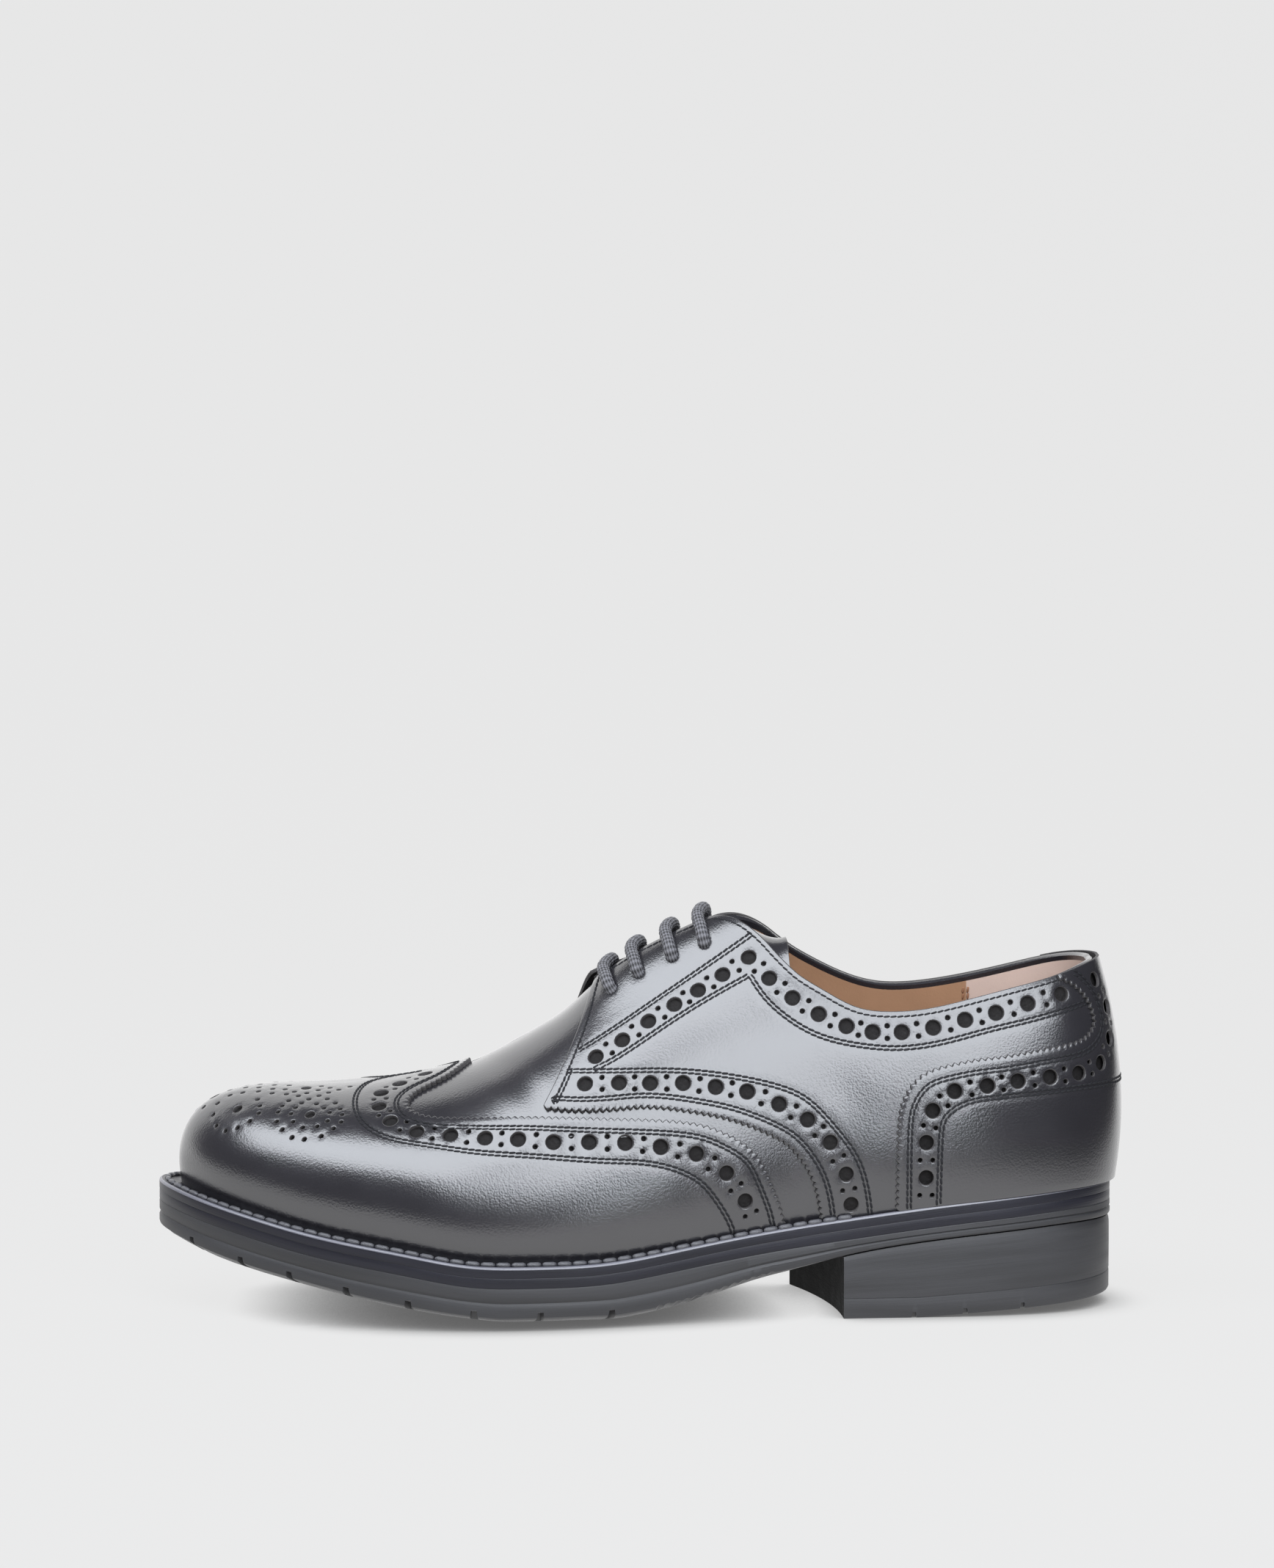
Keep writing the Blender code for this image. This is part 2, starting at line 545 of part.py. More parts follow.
def add_heel_counter():
    outer = lifted(edge_levels(COUNTER_EDGE, open_level))
    inner = outer * [-1, 1]
    inner[-1, 1] = open_level(inner[-1:, 0])[0]
    top_runs = spaced(COUNTER_EDGE[-1][0], -COUNTER_EDGE[-1][0], END_STEP)
    top = np.column_stack([top_runs, open_level(top_runs)])
    foot = foot_line(-COUNTER_EDGE[0][0], COUNTER_EDGE[0][0])
    loop = np.vstack([outer, top[1:-1], inner[::-1], foot[1:-1]])
    return leather_shell("heel_counter", [(loop, girdle)], OVERLAY_LIFT + OVERLAY, OVERLAY, "leather")


def across_ridge(hub, way):
    """Run and level at a way from the ridge, outer side negative."""
    run = run_of_hub(hub)
    level = level_below_ridge(np.array([run]), np.array([abs(way)]))[0]
    return (run if way < 0 else 2 * HALF_RUN - run), level


def add_tongue():
    stations = spaced(TONGUE_FRONT, TONGUE_TOP, EDGE_STEP)
    ways = spaced(-TONGUE_HALF_WIDTH, TONGUE_HALF_WIDTH, EDGE_STEP)
    rows = np.array([across_ridge(s, w) for s in stations for w in ways])
    free = np.repeat(np.clip((TONGUE_FREE - stations) / (TONGUE_FREE - TONGUE_TOP), 0.0, 1.0), len(ways))
    offset = np.full(len(rows), -(WALL + TONGUE_GAP))
    droop = np.outer(free ** 2 * (3 - 2 * free), (0.0, 0.0, -TONGUE_DROOP))
    skins = [leather(rows[:, 0], rows[:, 1], offset - d) + droop for d in (0.0, TONGUE_THICK)]
    n, m = len(stations), len(ways)
    corners = [i * m + j for i in range(n - 1) for j in range(m - 1)]
    quads = [[c, c + 1, c + m + 1, c + m] for c in corners]
    shell = two_skins(quads, n * m)
    return add_object("tongue", mesh_from("tongue", np.vstack(skins), shell), "leather", shoe)


def plan_edge(runs, grow):
    """The feather edge in plan, moved out by a width for each run."""
    point = last_point(runs, 0 * runs)[:, :2]
    step = last_point(runs + 0.2, 0 * runs)[:, :2] - last_point(runs - 0.2, 0 * runs)[:, :2]
    out = np.column_stack([-step[:, 1], step[:, 0]])
    out /= np.linalg.norm(out, axis=1, keepdims=True)
    return point + out * np.asarray(grow)[..., None]


def extension(runs):
    """How far the sole stands out from the feather edge."""
    runs = np.mod(runs, 2 * HALF_RUN)
    station = rib_at(runs)[:, 0]
    return np.where(runs < HALF_RUN, extension_outer(station), extension_inner(station))


def sole_outline(grow):
    runs = facet_runs()
    return plan_edge(runs, extension(runs) + grow)


def insole_outline(grow):
    runs = facet_runs()
    return plan_edge(runs, np.full(len(runs), grow - INSOLE_INSET))


def heel_outline(grow):
    """D-shaped plan of the heel, with its hollow, skewed breast."""
    outer, inner = run_at(BREAST_LATERAL), run_at(BREAST_MEDIAL, inner=True)
    runs = spaced(inner - 2 * HALF_RUN, outer, BREAST_STEP)
    back = plan_edge(runs, extension(runs) - HEEL_INSET + grow)
    a, b = back[-1], back[0]
    middle = spaced(0.0, 1.0, BREAST_STEP / np.linalg.norm(b - a))[1:-1, None]
    breast = a + (b - a) * middle
    breast[:, 0] += 4 * BREAST_HOLLOW * (middle * (1 - middle))[:, 0]
    return np.vstack([back, breast])


def from_bed(height):
    """A surface at a height over the feather edge's bed."""
    return lambda points: bed_z(HEEL_X - points[:, 0]) + height


def under_rubber(points):
    """Underside of the rubber, flat across the middle and rising to its edges."""
    station = HEEL_X - points[:, 0]
    sides = np.linspace(0.0, HALF_RUN, 400)
    outer = plan_edge(sides, extension(sides))
    inner = plan_edge(2 * HALF_RUN - sides, extension(2 * HALF_RUN - sides))
    low = np.interp(points[:, 0], outer[::-1, 0], outer[::-1, 1])
    high = np.interp(points[:, 0], inner[::-1, 0], inner[::-1, 1])
    across = np.abs((points[:, 1] - (low + high) / 2) / np.maximum((high - low) / 2, 1.0))
    edge = np.clip((across - FLAT_SHARE) / (1 - FLAT_SHARE), 0.0, 1.0) ** 2
    return np.maximum(underside_z(station), 0.0) + underside_lift(station) * edge


def under_heel(points):
    """Underside of the heel, flat in front and rising to the back."""
    return HEEL_RISE * np.maximum(HEEL_FLAT - (HEEL_X - points[:, 0]), 0.0)


def plate(name, outline, top, bottom, edge, finish):
    """A sole layer: an outline filled at its top and bottom heights, with an edge of several steps."""
    rim = outline(0.0)
    low, high = rim.min(axis=0), rim.max(axis=0)
    grid = [(x, y) for x in spaced(low[0], high[0], PLATE_STEP) for y in spaced(low[1], high[1], PLATE_STEP)]
    middle = np.array([p for p in grid if inside(p, rim) and clear_of(p, rim, CROWDED * PLATE_STEP)])
    faces = triangles_over(rim, middle)
    rings, n = [], len(rim)
    for share, grow in edge:
        ring = outline(grow)
        z = top(rim) * (1 - share) + bottom(rim) * share
        rings.append(np.column_stack([ring, z]))
    tops = np.column_stack([middle, top(middle)])
    lows = np.column_stack([middle, bottom(middle)])
    points = np.vstack(rings + [tops, lows])
    ring_end = n * len(rings)
    low_ring = ring_end - n

    def upper_index(i):
        return i if i < n else ring_end + i - n

    def lower_index(i):
        return low_ring + i if i < n else ring_end + len(middle) + i - n
    shell = [[upper_index(i) for i in face] for face in faces]
    shell += [[lower_index(i) for i in reversed(face)] for face in faces]
    for k in range(len(rings) - 1):
        for i in range(n):
            a, b = k * n + i, k * n + (i + 1) % n
            shell.append([a, b, b + n, a + n])
    return add_object(name, mesh_from(name, points, shell), finish, shoe)


def add_sole():
    welt_top = -GAP
    midsole_top = welt_top - WELT_THICK - GAP
    rubber_top = midsole_top - MIDSOLE_THICK - GAP
    plate("insole", insole_outline, from_bed(INSOLE_THICK), from_bed(0.0), PLAIN_EDGE, "lining")
    plate("welt", sole_outline, from_bed(welt_top), from_bed(welt_top - WELT_THICK), WELT_EDGE, "edge")
    plate("midsole", sole_outline, from_bed(midsole_top), from_bed(midsole_top - MIDSOLE_THICK),
          MIDSOLE_EDGE, "edge")
    rubber = plate("outsole", sole_outline, from_bed(rubber_top), under_rubber, RUBBER_EDGE, "rubber")

    def stack_top(points):
        return under_rubber(points) - GAP

    def stack_low(points):
        return under_heel(points) + TOP_PIECE + GAP

    def piece_top(points):
        return under_heel(points) + TOP_PIECE
    plate("heel_stack", heel_outline, stack_top, stack_low, PLAIN_EDGE, "edge")
    top_piece = plate("heel_top_piece", heel_outline, piece_top, under_heel, PLAIN_EDGE, "rubber")
    sides = [run_at(s) for s in NOTCH_STATIONS] + [run_at(s, inner=True) for s in NOTCH_STATIONS]
    cut_notches(rubber, sides, under_rubber, NOTCH_WIDTH, NOTCH_HEIGHT, NOTCH_LENGTH)
    sides = [run_at(s) for s in HEEL_NOTCH_STATIONS] + [run_at(s, inner=True) for s in HEEL_NOTCH_STATIONS]
    cut_notches(top_piece, sides, under_heel, HEEL_NOTCH_WIDTH, HEEL_NOTCH_HEIGHT, HEEL_NOTCH_LENGTH)


def cut_notches(target, runs, floor, width, height, length):
    """Grooves into the underside from its edge, square to the edge, cut by one joined cutter."""
    build = bmesh.new()
    for run in runs:
        here = np.array([run])
        rim = plan_edge(here, extension(here))
        core = plan_edge(here, extension(here) - length)
        start, end = (Vector((*p[0], floor(p)[0])) for p in (rim, core))
        along = (end - start).normalized()
        side = Vector((0, 0, 1)).cross(along).normalized()
        turn = Matrix((along, side, along.cross(side))).transposed().to_4x4()
        size = Matrix.Diagonal((length + 2 * NOTCH_OVERRUN, width, 2 * height, 1.0))
        place = Matrix.Translation((start + end) / 2 - along * NOTCH_OVERRUN)
        bmesh.ops.create_cube(build, size=1.0, matrix=Matrix.Scale(MM, 4) @ place @ turn @ size)
    mesh = bpy.data.meshes.new(target.name + "_notches")
    build.to_mesh(mesh)
    build.free()
    cutter = bpy.data.objects.new(target.name + "_notches", mesh)
    cutters.objects.link(cutter)
    cutter.hide_render = True
    cutter.display_type = "WIRE"
    cut = target.modifiers.new("notches", "BOOLEAN")
    cut.operation = "DIFFERENCE"
    cut.object = cutter


def add_lace_bars():
    """Straight bars over the throat, a lace radius above the facings."""
    height = OVERLAY_LIFT + OVERLAY + 2 * GAP + LACE_RADIUS
    for number, station in enumerate(LACE_STATIONS, 1):
        name = f"lace_bar_{number}"
        curve = bpy.data.curves.new(name, "CURVE")
        curve.dimensions = "3D"
        curve.bevel_depth = LACE_RADIUS * MM
        curve.bevel_resolution = 1
        curve.use_fill_caps = True
        ways = spaced(-LACE_REACH, LACE_REACH, LACE_STEP)
        rows = np.array([across_ridge(station, way) for way in ways])
        points = leather(rows[:, 0], rows[:, 1], np.full(len(ways), height))
        spline = curve.splines.new("POLY")
        spline.points.add(len(points) - 1)
        for target, point in zip(spline.points, points):
            target.co = (*(point * MM), 1.0)
        bar = bpy.data.objects.new(name, curve)
        curve.materials.append(material("lace"))
        parts.objects.link(bar)
        bar.parent = shoe


for old in list(bpy.data.objects):
    bpy.data.objects.remove(old, do_unlink=True)
parts = bpy.data.collections.new("full_brogue_derby")
cutters = bpy.data.collections.new("cutters")
bpy.context.scene.collection.children.link(parts)
bpy.context.scene.collection.children.link(cutters)
shoe = bpy.data.objects.new("shoe", None)
parts.objects.link(shoe)
FACETS = lattice()
add_upper()
add_wing_tip()
add_quarter("quarter_lateral", inner=False)
add_quarter("quarter_medial", inner=True)
add_heel_counter()
add_tongue()
add_sole()
add_lace_bars()
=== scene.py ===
"""Looks of a full brogue derby, a left shoe: leather, holes, seams, lace, welt and sole over its frame.

The frame is that of the shoe's solids: toe to -X, outer side to -Y, floor at Z = 0. The shoe's tables are in
millimetres and every mesh is written in metres. A station is the distance forward of the heel's back edge,
a run the distance round the feather edge from there, and a rise the way up the leather from that edge.
"""

import bmesh
import bpy
import numpy as np
from mathutils import Matrix, Vector
from mathutils.geometry import delaunay_2d_cdt
from mathutils.kdtree import KDTree


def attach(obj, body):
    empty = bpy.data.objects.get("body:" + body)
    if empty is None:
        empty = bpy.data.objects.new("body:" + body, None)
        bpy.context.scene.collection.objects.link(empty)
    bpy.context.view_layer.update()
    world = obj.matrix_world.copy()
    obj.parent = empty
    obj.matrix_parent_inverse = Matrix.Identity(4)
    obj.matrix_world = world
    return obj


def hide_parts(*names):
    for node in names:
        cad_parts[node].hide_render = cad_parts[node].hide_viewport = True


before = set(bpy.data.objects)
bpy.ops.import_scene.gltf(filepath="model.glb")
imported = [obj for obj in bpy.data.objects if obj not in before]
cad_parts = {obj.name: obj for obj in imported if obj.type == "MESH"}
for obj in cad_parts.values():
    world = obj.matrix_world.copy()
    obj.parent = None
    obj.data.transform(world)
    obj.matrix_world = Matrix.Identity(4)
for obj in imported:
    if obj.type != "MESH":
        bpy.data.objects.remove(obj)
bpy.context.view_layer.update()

bl_info = {
    "name": "Full brogue derby",
    "version": (1, 0, 0),
    "blender": (4, 5, 0),
    "location": "3D View > Sidebar > Derby",
    "description": "Dresses the solids of a full brogue derby in leather, seams, lace and sole",
    "category": "Object",
}

MM = 0.001

# Sizes of the last, the sole, the tongue and the lace
HEEL_X = 148.75  # X of the feather edge at the back of the heel
AXIS_Y = 2.55  # Y of the last's centre line
WALL = 2.2  # upper leather with its lining
GAP = 0.3  # clearance between the layers of the sole
SLIT = 0.06  # what of it is left to be seen
HALF_THROAT = 6.0  # half the gap between the facings
THROAT_FRONT = 159.0  # station of the front of the throat
THROAT_ROUND = 7.0  # length of its rounded front
CORNER_ROUND = 9.0  # reach of the rounding of the corner between facing and collar
WELT_THICK = 3.1
MIDSOLE_THICK = 2.9
INSOLE_THICK = 2.5
INSOLE_INSET = WALL + 0.8
TONGUE_THICK = 1.8
TONGUE_HALF_WIDTH = 21.0
TONGUE_GAP = 1.0  # under the facings
TONGUE_FRONT, TONGUE_TOP = 167.0, 102.0
TONGUE_FREE = 124.0  # station where its free end starts
TONGUE_DROOP = 15.5  # how far the free end leans into the shoe
LACE_REACH = 15.0  # from the ridge to the eyelets
LACE_LIFT = 3.2  # of the bars over the upper at the facings
LACE_MIDDLE = 2.3  # and between them
LACE_BOW = 2.8  # how far they bow to the heel on the inner side
BREAST_LATERAL, BREAST_MEDIAL = 87.0, 99.0
BREAST_HOLLOW = 3.0
HEEL_INSET = 0.2  # how far the heel stands in from the sole's edge
HEEL_FLAT = 64.0  # station where the heel's flat spot ends
HEEL_RISE = 0.066  # slope of its bottom behind the flat spot
TOP_PIECE = 6.2
FLAT_SHARE = 0.45  # share of the sole's half width that lies flat
NOTCH = (3.4, 2.2, 15.0)  # a notch's cutter in the sole: width at its foot, height over the sole, length
HEEL_NOTCH = (2.2, 1.8, 4.0)  # and in the heel
NOTCH_OVERRUN = 4.0  # half of what is added to that length outside the edge
NOTCH_TAPER = 0.5  # size of the cutter at its top as a share of that at its foot

# Sizes of the finer work
SKIN_STEP = 2.0  # spacing of the points over a leather piece
LINE_STEP = 0.5  # spacing of the points along a drawn line
BEVEL = 0.4  # rounding of a cut edge
ROUNDING = ((0.5, 0.13), (0.87, 0.5), (1.0, 1.0))  # its steps, as shares out and down
FACING_LIFT = 4.0  # how far the facings stand up over the last at the throat
FACING_WAYS = (3.0, 27.0)  # ways from the ridge between which that fades
FACING_HUBS = (84.0, 104.0, 148.0, 178.0)  # stations where it starts, is full, and fades out again
FRONT_LIFT = 3.0  # how far the inner facing's front corner stands up
FRONT_WAYS, FRONT_HUBS = (12.0, 26.0), (150.0, 164.0)  # ways and stations between which that fades
FRONT_SPLIT = 61.0  # rise above which the front edge has a single row of stitches
SEAM_HALF = 0.6  # half the distance between the rows of a double seam
SEAM_SINK = 0.15  # how deep a seam pulls the leather in
SEAM_REACH = 1.5  # how far to either side it does
STITCH_SLANT = 0.12  # lean of a stitch against its row
STITCH_WIDE, STITCH_HIGH = 0.78, 0.66  # a stitch of the upper
STITCH_LONG = 1.02  # its length as a share of the pitch
STITCH_SEAT = 0.12  # how deep it lies in its leather
STITCH_REACH = 0.4  # way to either side that gives its direction
SEAT = 0.05  # slit between a piece and the leather under it
RIM_CLEAR, SEAM_CLEAR = 1.1, 0.7  # least ways of the field and of seams to a rim
FIELD_CLEAR, FIELD_APART = 1.0, 1.2  # and of the field to a seam and to itself
HOLE_CLEAR = 0.5  # least way of either to a hole's circle
HOLE_ROUNDING = 0.14  # rounding of a hole's rim, as a share of its width
LARGE_HOLE = 2.5  # a wider hole has more corners
LARGE_SIDES, SMALL_SIDES, EYELET_SIDES = 20, 10, 16
LIP_RISE = 0.5  # how far the collar's edge is rounded up
LIP_DEPTHS = (0.5, 1.3)  # and where it is highest, in from the outer face
UPPER_COLUMNS, UPPER_ROWS = 330, 46
CLOSED = 0.9999  # level from which a rib counts as closed at the ridge
WELD = 0.01  # points nearer than this are one
TOOTH = (0.0, 0.55, 1.0, 0.55)  # steps of a tooth, as shares of its depth
EDGE_SEAM = 2.7  # from a toothed edge to the middle of its double seam
TOP_SEAM = 1.3  # from the top edge to its single row
TRIM = 0.4  # rows of stitches stay this far under the top edge
PAIR_HALF = 1.95  # half the distance between the small holes of a pair
EYELET_RADIUS = 1.9
FOOT_RISE = 0.3  # a piece's lower edge above the feather edge
RIDGE_CLEAR = 0.5  # teeth nearer to the ridge than this are left out
WING_FOOT_POINTS = 420  # along the wing's lower edge
FOOT_STEP, TOP_STEP = 1.5, 1.0  # along the lower and upper edges of the other pieces
CORNER_CLEAR = 1.25  # where the edge seam stops short of a corner, as a share of its way from the edge
VAMP_RUN = 100.0  # the quarters stay this run away from the toe
COUNTER_REACH = 95.0  # run that the counter stays within
TUCK = 4.0  # how far the quarters reach under the heel counter
COVER = 3.4  # a place this far under an overlay shows in its holes only
SAME_SIDE = 40.0  # a move of a run by more than this is a jump over the ridge
HEEL_LINING_RUN = 58.0  # run of the seam between the side lining and the heel lining
LINING_SEAM_FOOT, LINING_SEAM_TOP = 8.0, 2.5  # its start over the feather edge and its end under the top
LINING_SEAM_HALF = 0.8  # half the distance between its rows
LINING_STITCH_OUT = 0.1  # how far its stitches' middle stands off the lining
BELOW, ABOVE, PAST = -1.0, 200.0, 9.0  # rises under and over all leather, and a run past an end
TONGUE_STEP = 1.5  # spacing of the points over the tongue
TONGUE_EDGE, TONGUE_SKIVE = 0.25, 3.0  # share of its thickness at its sides, and the skived width
BREAST_FACING = -0.75  # faces turned to the toe by more than this are the heel's breast
WELT_STITCH_START = 82.0  # station of the first stitch
WELT_STITCH_SHARE = 0.68  # place of the row across the welt
WELT_STITCH_RISE = 0.35  # its middle over the welt
WELT_STITCH_REACH = 1.0  # way to either side that gives a stitch's direction
WELT_STITCH_LONG, WELT_STITCH_WIDE, WELT_STITCH_HIGH = 0.96, 1.8, 1.9  # length as a share of the pitch
LACE_STEP, LACE_SIDES = 0.4, 28  # spacing of the lace's rings, and their corners
LACE_STRANDS, LACE_LAY = 6, 4.2  # waves round the lace in each of two crossing lays, and the length of one
LACE_CORE, LACE_SWELL = 0.95, 0.07  # its mean radius and the waves' height, as shares of its radius
LACE_UNDER = -2.75  # the lace under the facings
LACE_PRESSED, LACE_HIDDEN = 0.3, 0.25  # share of its thickness left under an eyelet, and beside one
LACE_TURN = 1.5  # how far it goes out from one eyelet to the next
LACE_END, LACE_END_FORWARD = 4.5, 4.0  # ways of its end out from the eyelets and forward of the top one
LACE_BOW_PEAK = 0.35  # where a bar's bow is largest, as a share of its half to the inner side
BRAID_LAY, BRAID_YARNS = 2300.0, 44.0  # radians of the yarns' waves to a unit of the map, along and round

# The ridge of the last: station, offset to the inner side, height
RIDGE = [
    (20, 0.0, 152.0), (45, 0.0, 150.0), (70, 0.0, 144.0), (95, 0.0, 134.0), (118, 0.0, 123.0),
    (142, 0.0, 111.5), (158, 0.5, 102.0), (172, 1.0, 92.5), (188, 1.8, 83.0), (204, 2.6, 75.3),
    (220, 3.3, 71.3), (234, 3.8, 69.2), (248, 4.2, 68.1), (262, 4.4, 67.9)]

# Ribs of the last, from the feather edge up to a hub on the ridge.
# station: of the rib's foot; hub: station of its top; lateral, medial: half widths of the feather edge;
# flare at flare_z above it; swell of each side at swell_z; shoulder: reach and height as shares of the rib;
# crown: the reach of the rounding under the ridge as a share of the rib.
RIB_COLUMNS = ("station", "hub", "lateral", "medial", "flare", "flare_z", "swell_lateral", "swell_medial",
               "swell_z", "shoulder", "shoulder_z", "crown")
RIBS = [
    (0.0, 32.0, 0.0, 0.0, 1.0, 8.0, 6.5, 6.5, 34.0, 1.02, 0.60, 0.45),
    (4.0, 32.0, 14.5, 14.5, 1.0, 8.0, 6.5, 6.5, 34.0, 1.02, 0.60, 0.45),
    (12.0, 33.0, 23.0, 23.0, 1.2, 8.0, 6.5, 6.5, 34.0, 1.00, 0.60, 0.45),
    (25.0, 36.5, 28.5, 28.5, 1.5, 8.0, 6.5, 6.5, 34.0, 0.98, 0.60, 0.45),
    (42.0, 46.0, 31.3, 30.8, 1.8, 8.0, 6.5, 7.0, 34.0, 0.96, 0.60, 0.48),
    (65.0, 66.0, 32.2, 29.8, 2.0, 8.5, 6.5, 8.5, 34.0, 0.94, 0.62, 0.50),
    (95.0, 95.0, 33.5, 26.8, 2.5, 9.0, 6.5, 12.0, 34.0, 0.93, 0.65, 0.50),
    (125.0, 125.0, 37.5, 27.2, 3.0, 9.0, 6.0, 12.0, 32.0, 0.92, 0.70, 0.52),
    (155.0, 155.0, 43.5, 33.0, 3.0, 8.5, 5.0, 9.0, 27.0, 0.89, 0.71, 0.50),
    (180.0, 180.0, 47.5, 39.0, 2.8, 7.5, 5.0, 6.5, 22.0, 0.88, 0.74, 0.48),
    (203.0, 202.0, 48.5, 43.0, 2.5, 7.0, 5.0, 5.5, 19.0, 0.90, 0.77, 0.47),
    (226.0, 222.0, 45.5, 43.5, 2.2, 6.5, 5.0, 5.0, 18.0, 0.92, 0.80, 0.50),
    (248.0, 237.0, 38.5, 40.0, 1.9, 6.0, 4.5, 4.5, 17.5, 0.93, 0.84, 0.52),
    (266.0, 245.0, 28.5, 33.5, 1.6, 6.0, 4.0, 4.0, 17.5, 0.93, 0.91, 0.52),
    (280.0, 248.5, 17.5, 25.5, 1.4, 6.0, 3.5, 3.5, 18.0, 0.93, 0.97, 0.52),
    (288.0, 250.0, 7.5, 17.0, 1.2, 6.0, 3.0, 3.0, 18.5, 0.93, 1.01, 0.52),
    (292.4, 250.3, -4.5, 4.5, 1.2, 6.0, 3.0, 3.0, 18.5, 0.93, 1.02, 0.52)]

# Height of the feather edge: station, height
BED = [
    (-2, 39.8), (10, 39.5), (30, 37.9), (53, 35.6), (85, 31.5), (108, 28.4), (126, 25.6), (143, 22.8),
    (160, 20.5), (182, 20.0), (203, 20.7), (220, 23.5), (250, 28.6), (276, 34.2), (302, 40.3)]

# Top edge of the quarters: station, height on the outer side, height on the inner side
TOPLINE = [
    (3, 109.6, 109.6), (9, 108.2, 109.0), (19, 105.0, 106.8), (30, 102.2, 103.8), (48, 97.8, 99.8),
    (61, 95.0, 98.2), (73, 94.2, 98.8), (83, 95.7, 102.0), (93, 100.8, 107.0), (102, 106.5, 112.5),
    (112, 116.0, 120.0), (119, 123.0, 125.5), (126, 132.0, 134.0)]

# How far the sole's edge stands out from the feather edge: station, outer side, inner side
EXTENSION = [
    (0, 0.6, 0.6), (25, 1.6, 1.6), (60, 2.5, 2.0), (95, 3.2, 2.0), (125, 4.0, 2.6), (155, 5.5, 4.2),
    (180, 6.8, 5.6), (203, 7.0, 6.3), (226, 7.0, 6.8), (248, 7.0, 7.0), (270, 7.4, 7.4), (292, 8.4, 8.4)]

# Underside of the rubber: station, height at the middle, how much higher its edges are
UNDERSIDE = [
    (-2, 28.0, 0.0), (12, 28.1, 0.0), (30, 26.9, 0.0), (52, 24.8, 0.0), (72, 22.2, 0.0), (88, 18.6, 0.6),
    (100, 14.9, 1.4), (113, 11.5, 2.0), (130, 6.0, 2.6), (148, 1.6, 3.2), (162, -0.4, 3.6),
    (188, -0.4, 3.6), (204, 1.2, 3.6), (221, 3.8, 3.5), (239, 7.2, 3.4), (256, 10.9, 3.2), (270, 14.2, 2.7),
    (285, 18.6, 2.0), (302, 25.6, 0.0)]

# Lines and holes on the outer side, as run and rise; a rise of None is at the top of the leather there.
WING_EDGE = [
    (221.5, None), (228.5, 71.4), (237.2, 61.1), (241.6, 52.0), (239.3, 46.6), (233, 44.7), (220, 45.4),
    (193, 44.0), (175, 42.0), (161.5, 39.4), (148, 35.5), (139, 30.5), (131.5, 24.0), (127.4, 16.0),
    (124, 6.8), (122.5, FOOT_RISE)]
WING_HOLES = [
    (236.2, 74.2), (244.9, 64.3), (251, 55.8), (250.4, 47.5), (245.7, 41.4), (236.8, 38.7), (226, 39.3),
    (215.1, 39.0), (204.9, 38.4), (194, 37.1), (182.9, 36.6), (171.6, 35.2), (160.5, 32.1), (149.3, 28.0),
    (139.9, 20.4), (134.1, 10.8)]
WING_SEAM = [
    (238, None), (258, 68.5), (259.5, 46.5), (253.2, 37.4), (245, 34.4), (229.3, 34.4), (202.4, 33.1),
    (175.4, 30.1), (161.8, 27.0), (149.9, 20.7), (143.8, 13.7), (139, 5.0), (137.5, FOOT_RISE)]
QUARTER_FRONT = [(176.5, None), (184, 79.8), (188, 68.7), (193, 56.6), (196.5, 49.5)]
QUARTER_EDGE = [
    (196.5, 49.5), (188, 48.0), (175, 47.0), (166, 46.2), (157, 44.0), (148, 41.0), (139, 37.5),
    (129.6, 32.7), (121, 27.0), (116.5, 22.0), (112.4, 15.0), (110, 7.0), (109, FOOT_RISE)]
BAND_HOLES = [
    (183.8, 55.4), (173.2, 54.2), (163.5, 52.3), (153.2, 50.3), (143, 47.2), (133.2, 44.0), (123.3, 38.5),
    (114.4, 32.4), (107.4, 24.4), (102.4, 13.9), (100.8, 4.2)]
BAND_SEAM = [
    (189.5, 60.7), (174.9, 58.4), (156.6, 54.9), (138.8, 49.8), (122.4, 43.4), (113.8, 37.8), (105.6, 28.2),
    (98.2, 16.3), (95.2, 3.9), (94.8, FOOT_RISE)]
FACING_SEAM = [(185.4, 67.6), (158.5, 80.6), (131.6, 93.4), (130.2, 94.1)]
FACING_HOLES = [
    (180.2, 64.2), (171.8, 68.2), (163.5, 72.6), (155.2, 76.2), (147.7, 79.2), (139.9, 82.7), (131.6, 86.7)]
FACING_LOW_SEAM = [(181.0, 59.9), (173.8, 62.6), (153.6, 72.0), (131.5, 80.6)]
COLLAR_SEAM = [
    (131.5, 80.6), (126.3, 71.4), (116.9, 61.9), (106.9, 56.0), (94.7, 52.0), (84.7, 50.2), (72.2, 50.3),
    (56.9, 52.5), (42.2, 54.2), (22.0, 57.4)]
COLLAR_HOLES = [
    (125.5, 78.3), (118.5, 70.7), (110.5, 64.3), (101.9, 59.3), (93.8, 56.3), (84.7, 55.0), (74.9, 55.1),
    (64.9, 56.3), (55, 57.4), (44.4, 59.1), (32.5, 60.7)]
COUNTER_EDGE = [
    (85.5, FOOT_RISE), (85.3, 25.5), (83.5, 34.0), (78.8, 39.6), (72, 41.7), (61, 42.6), (52, 42.7),
    (41, 43.4), (31.6, 44.0), (25.5, 45.6), (21, 49.5), (20.5, 53.0), (22.5, 58.7), (28, 64.2), (33, None)]
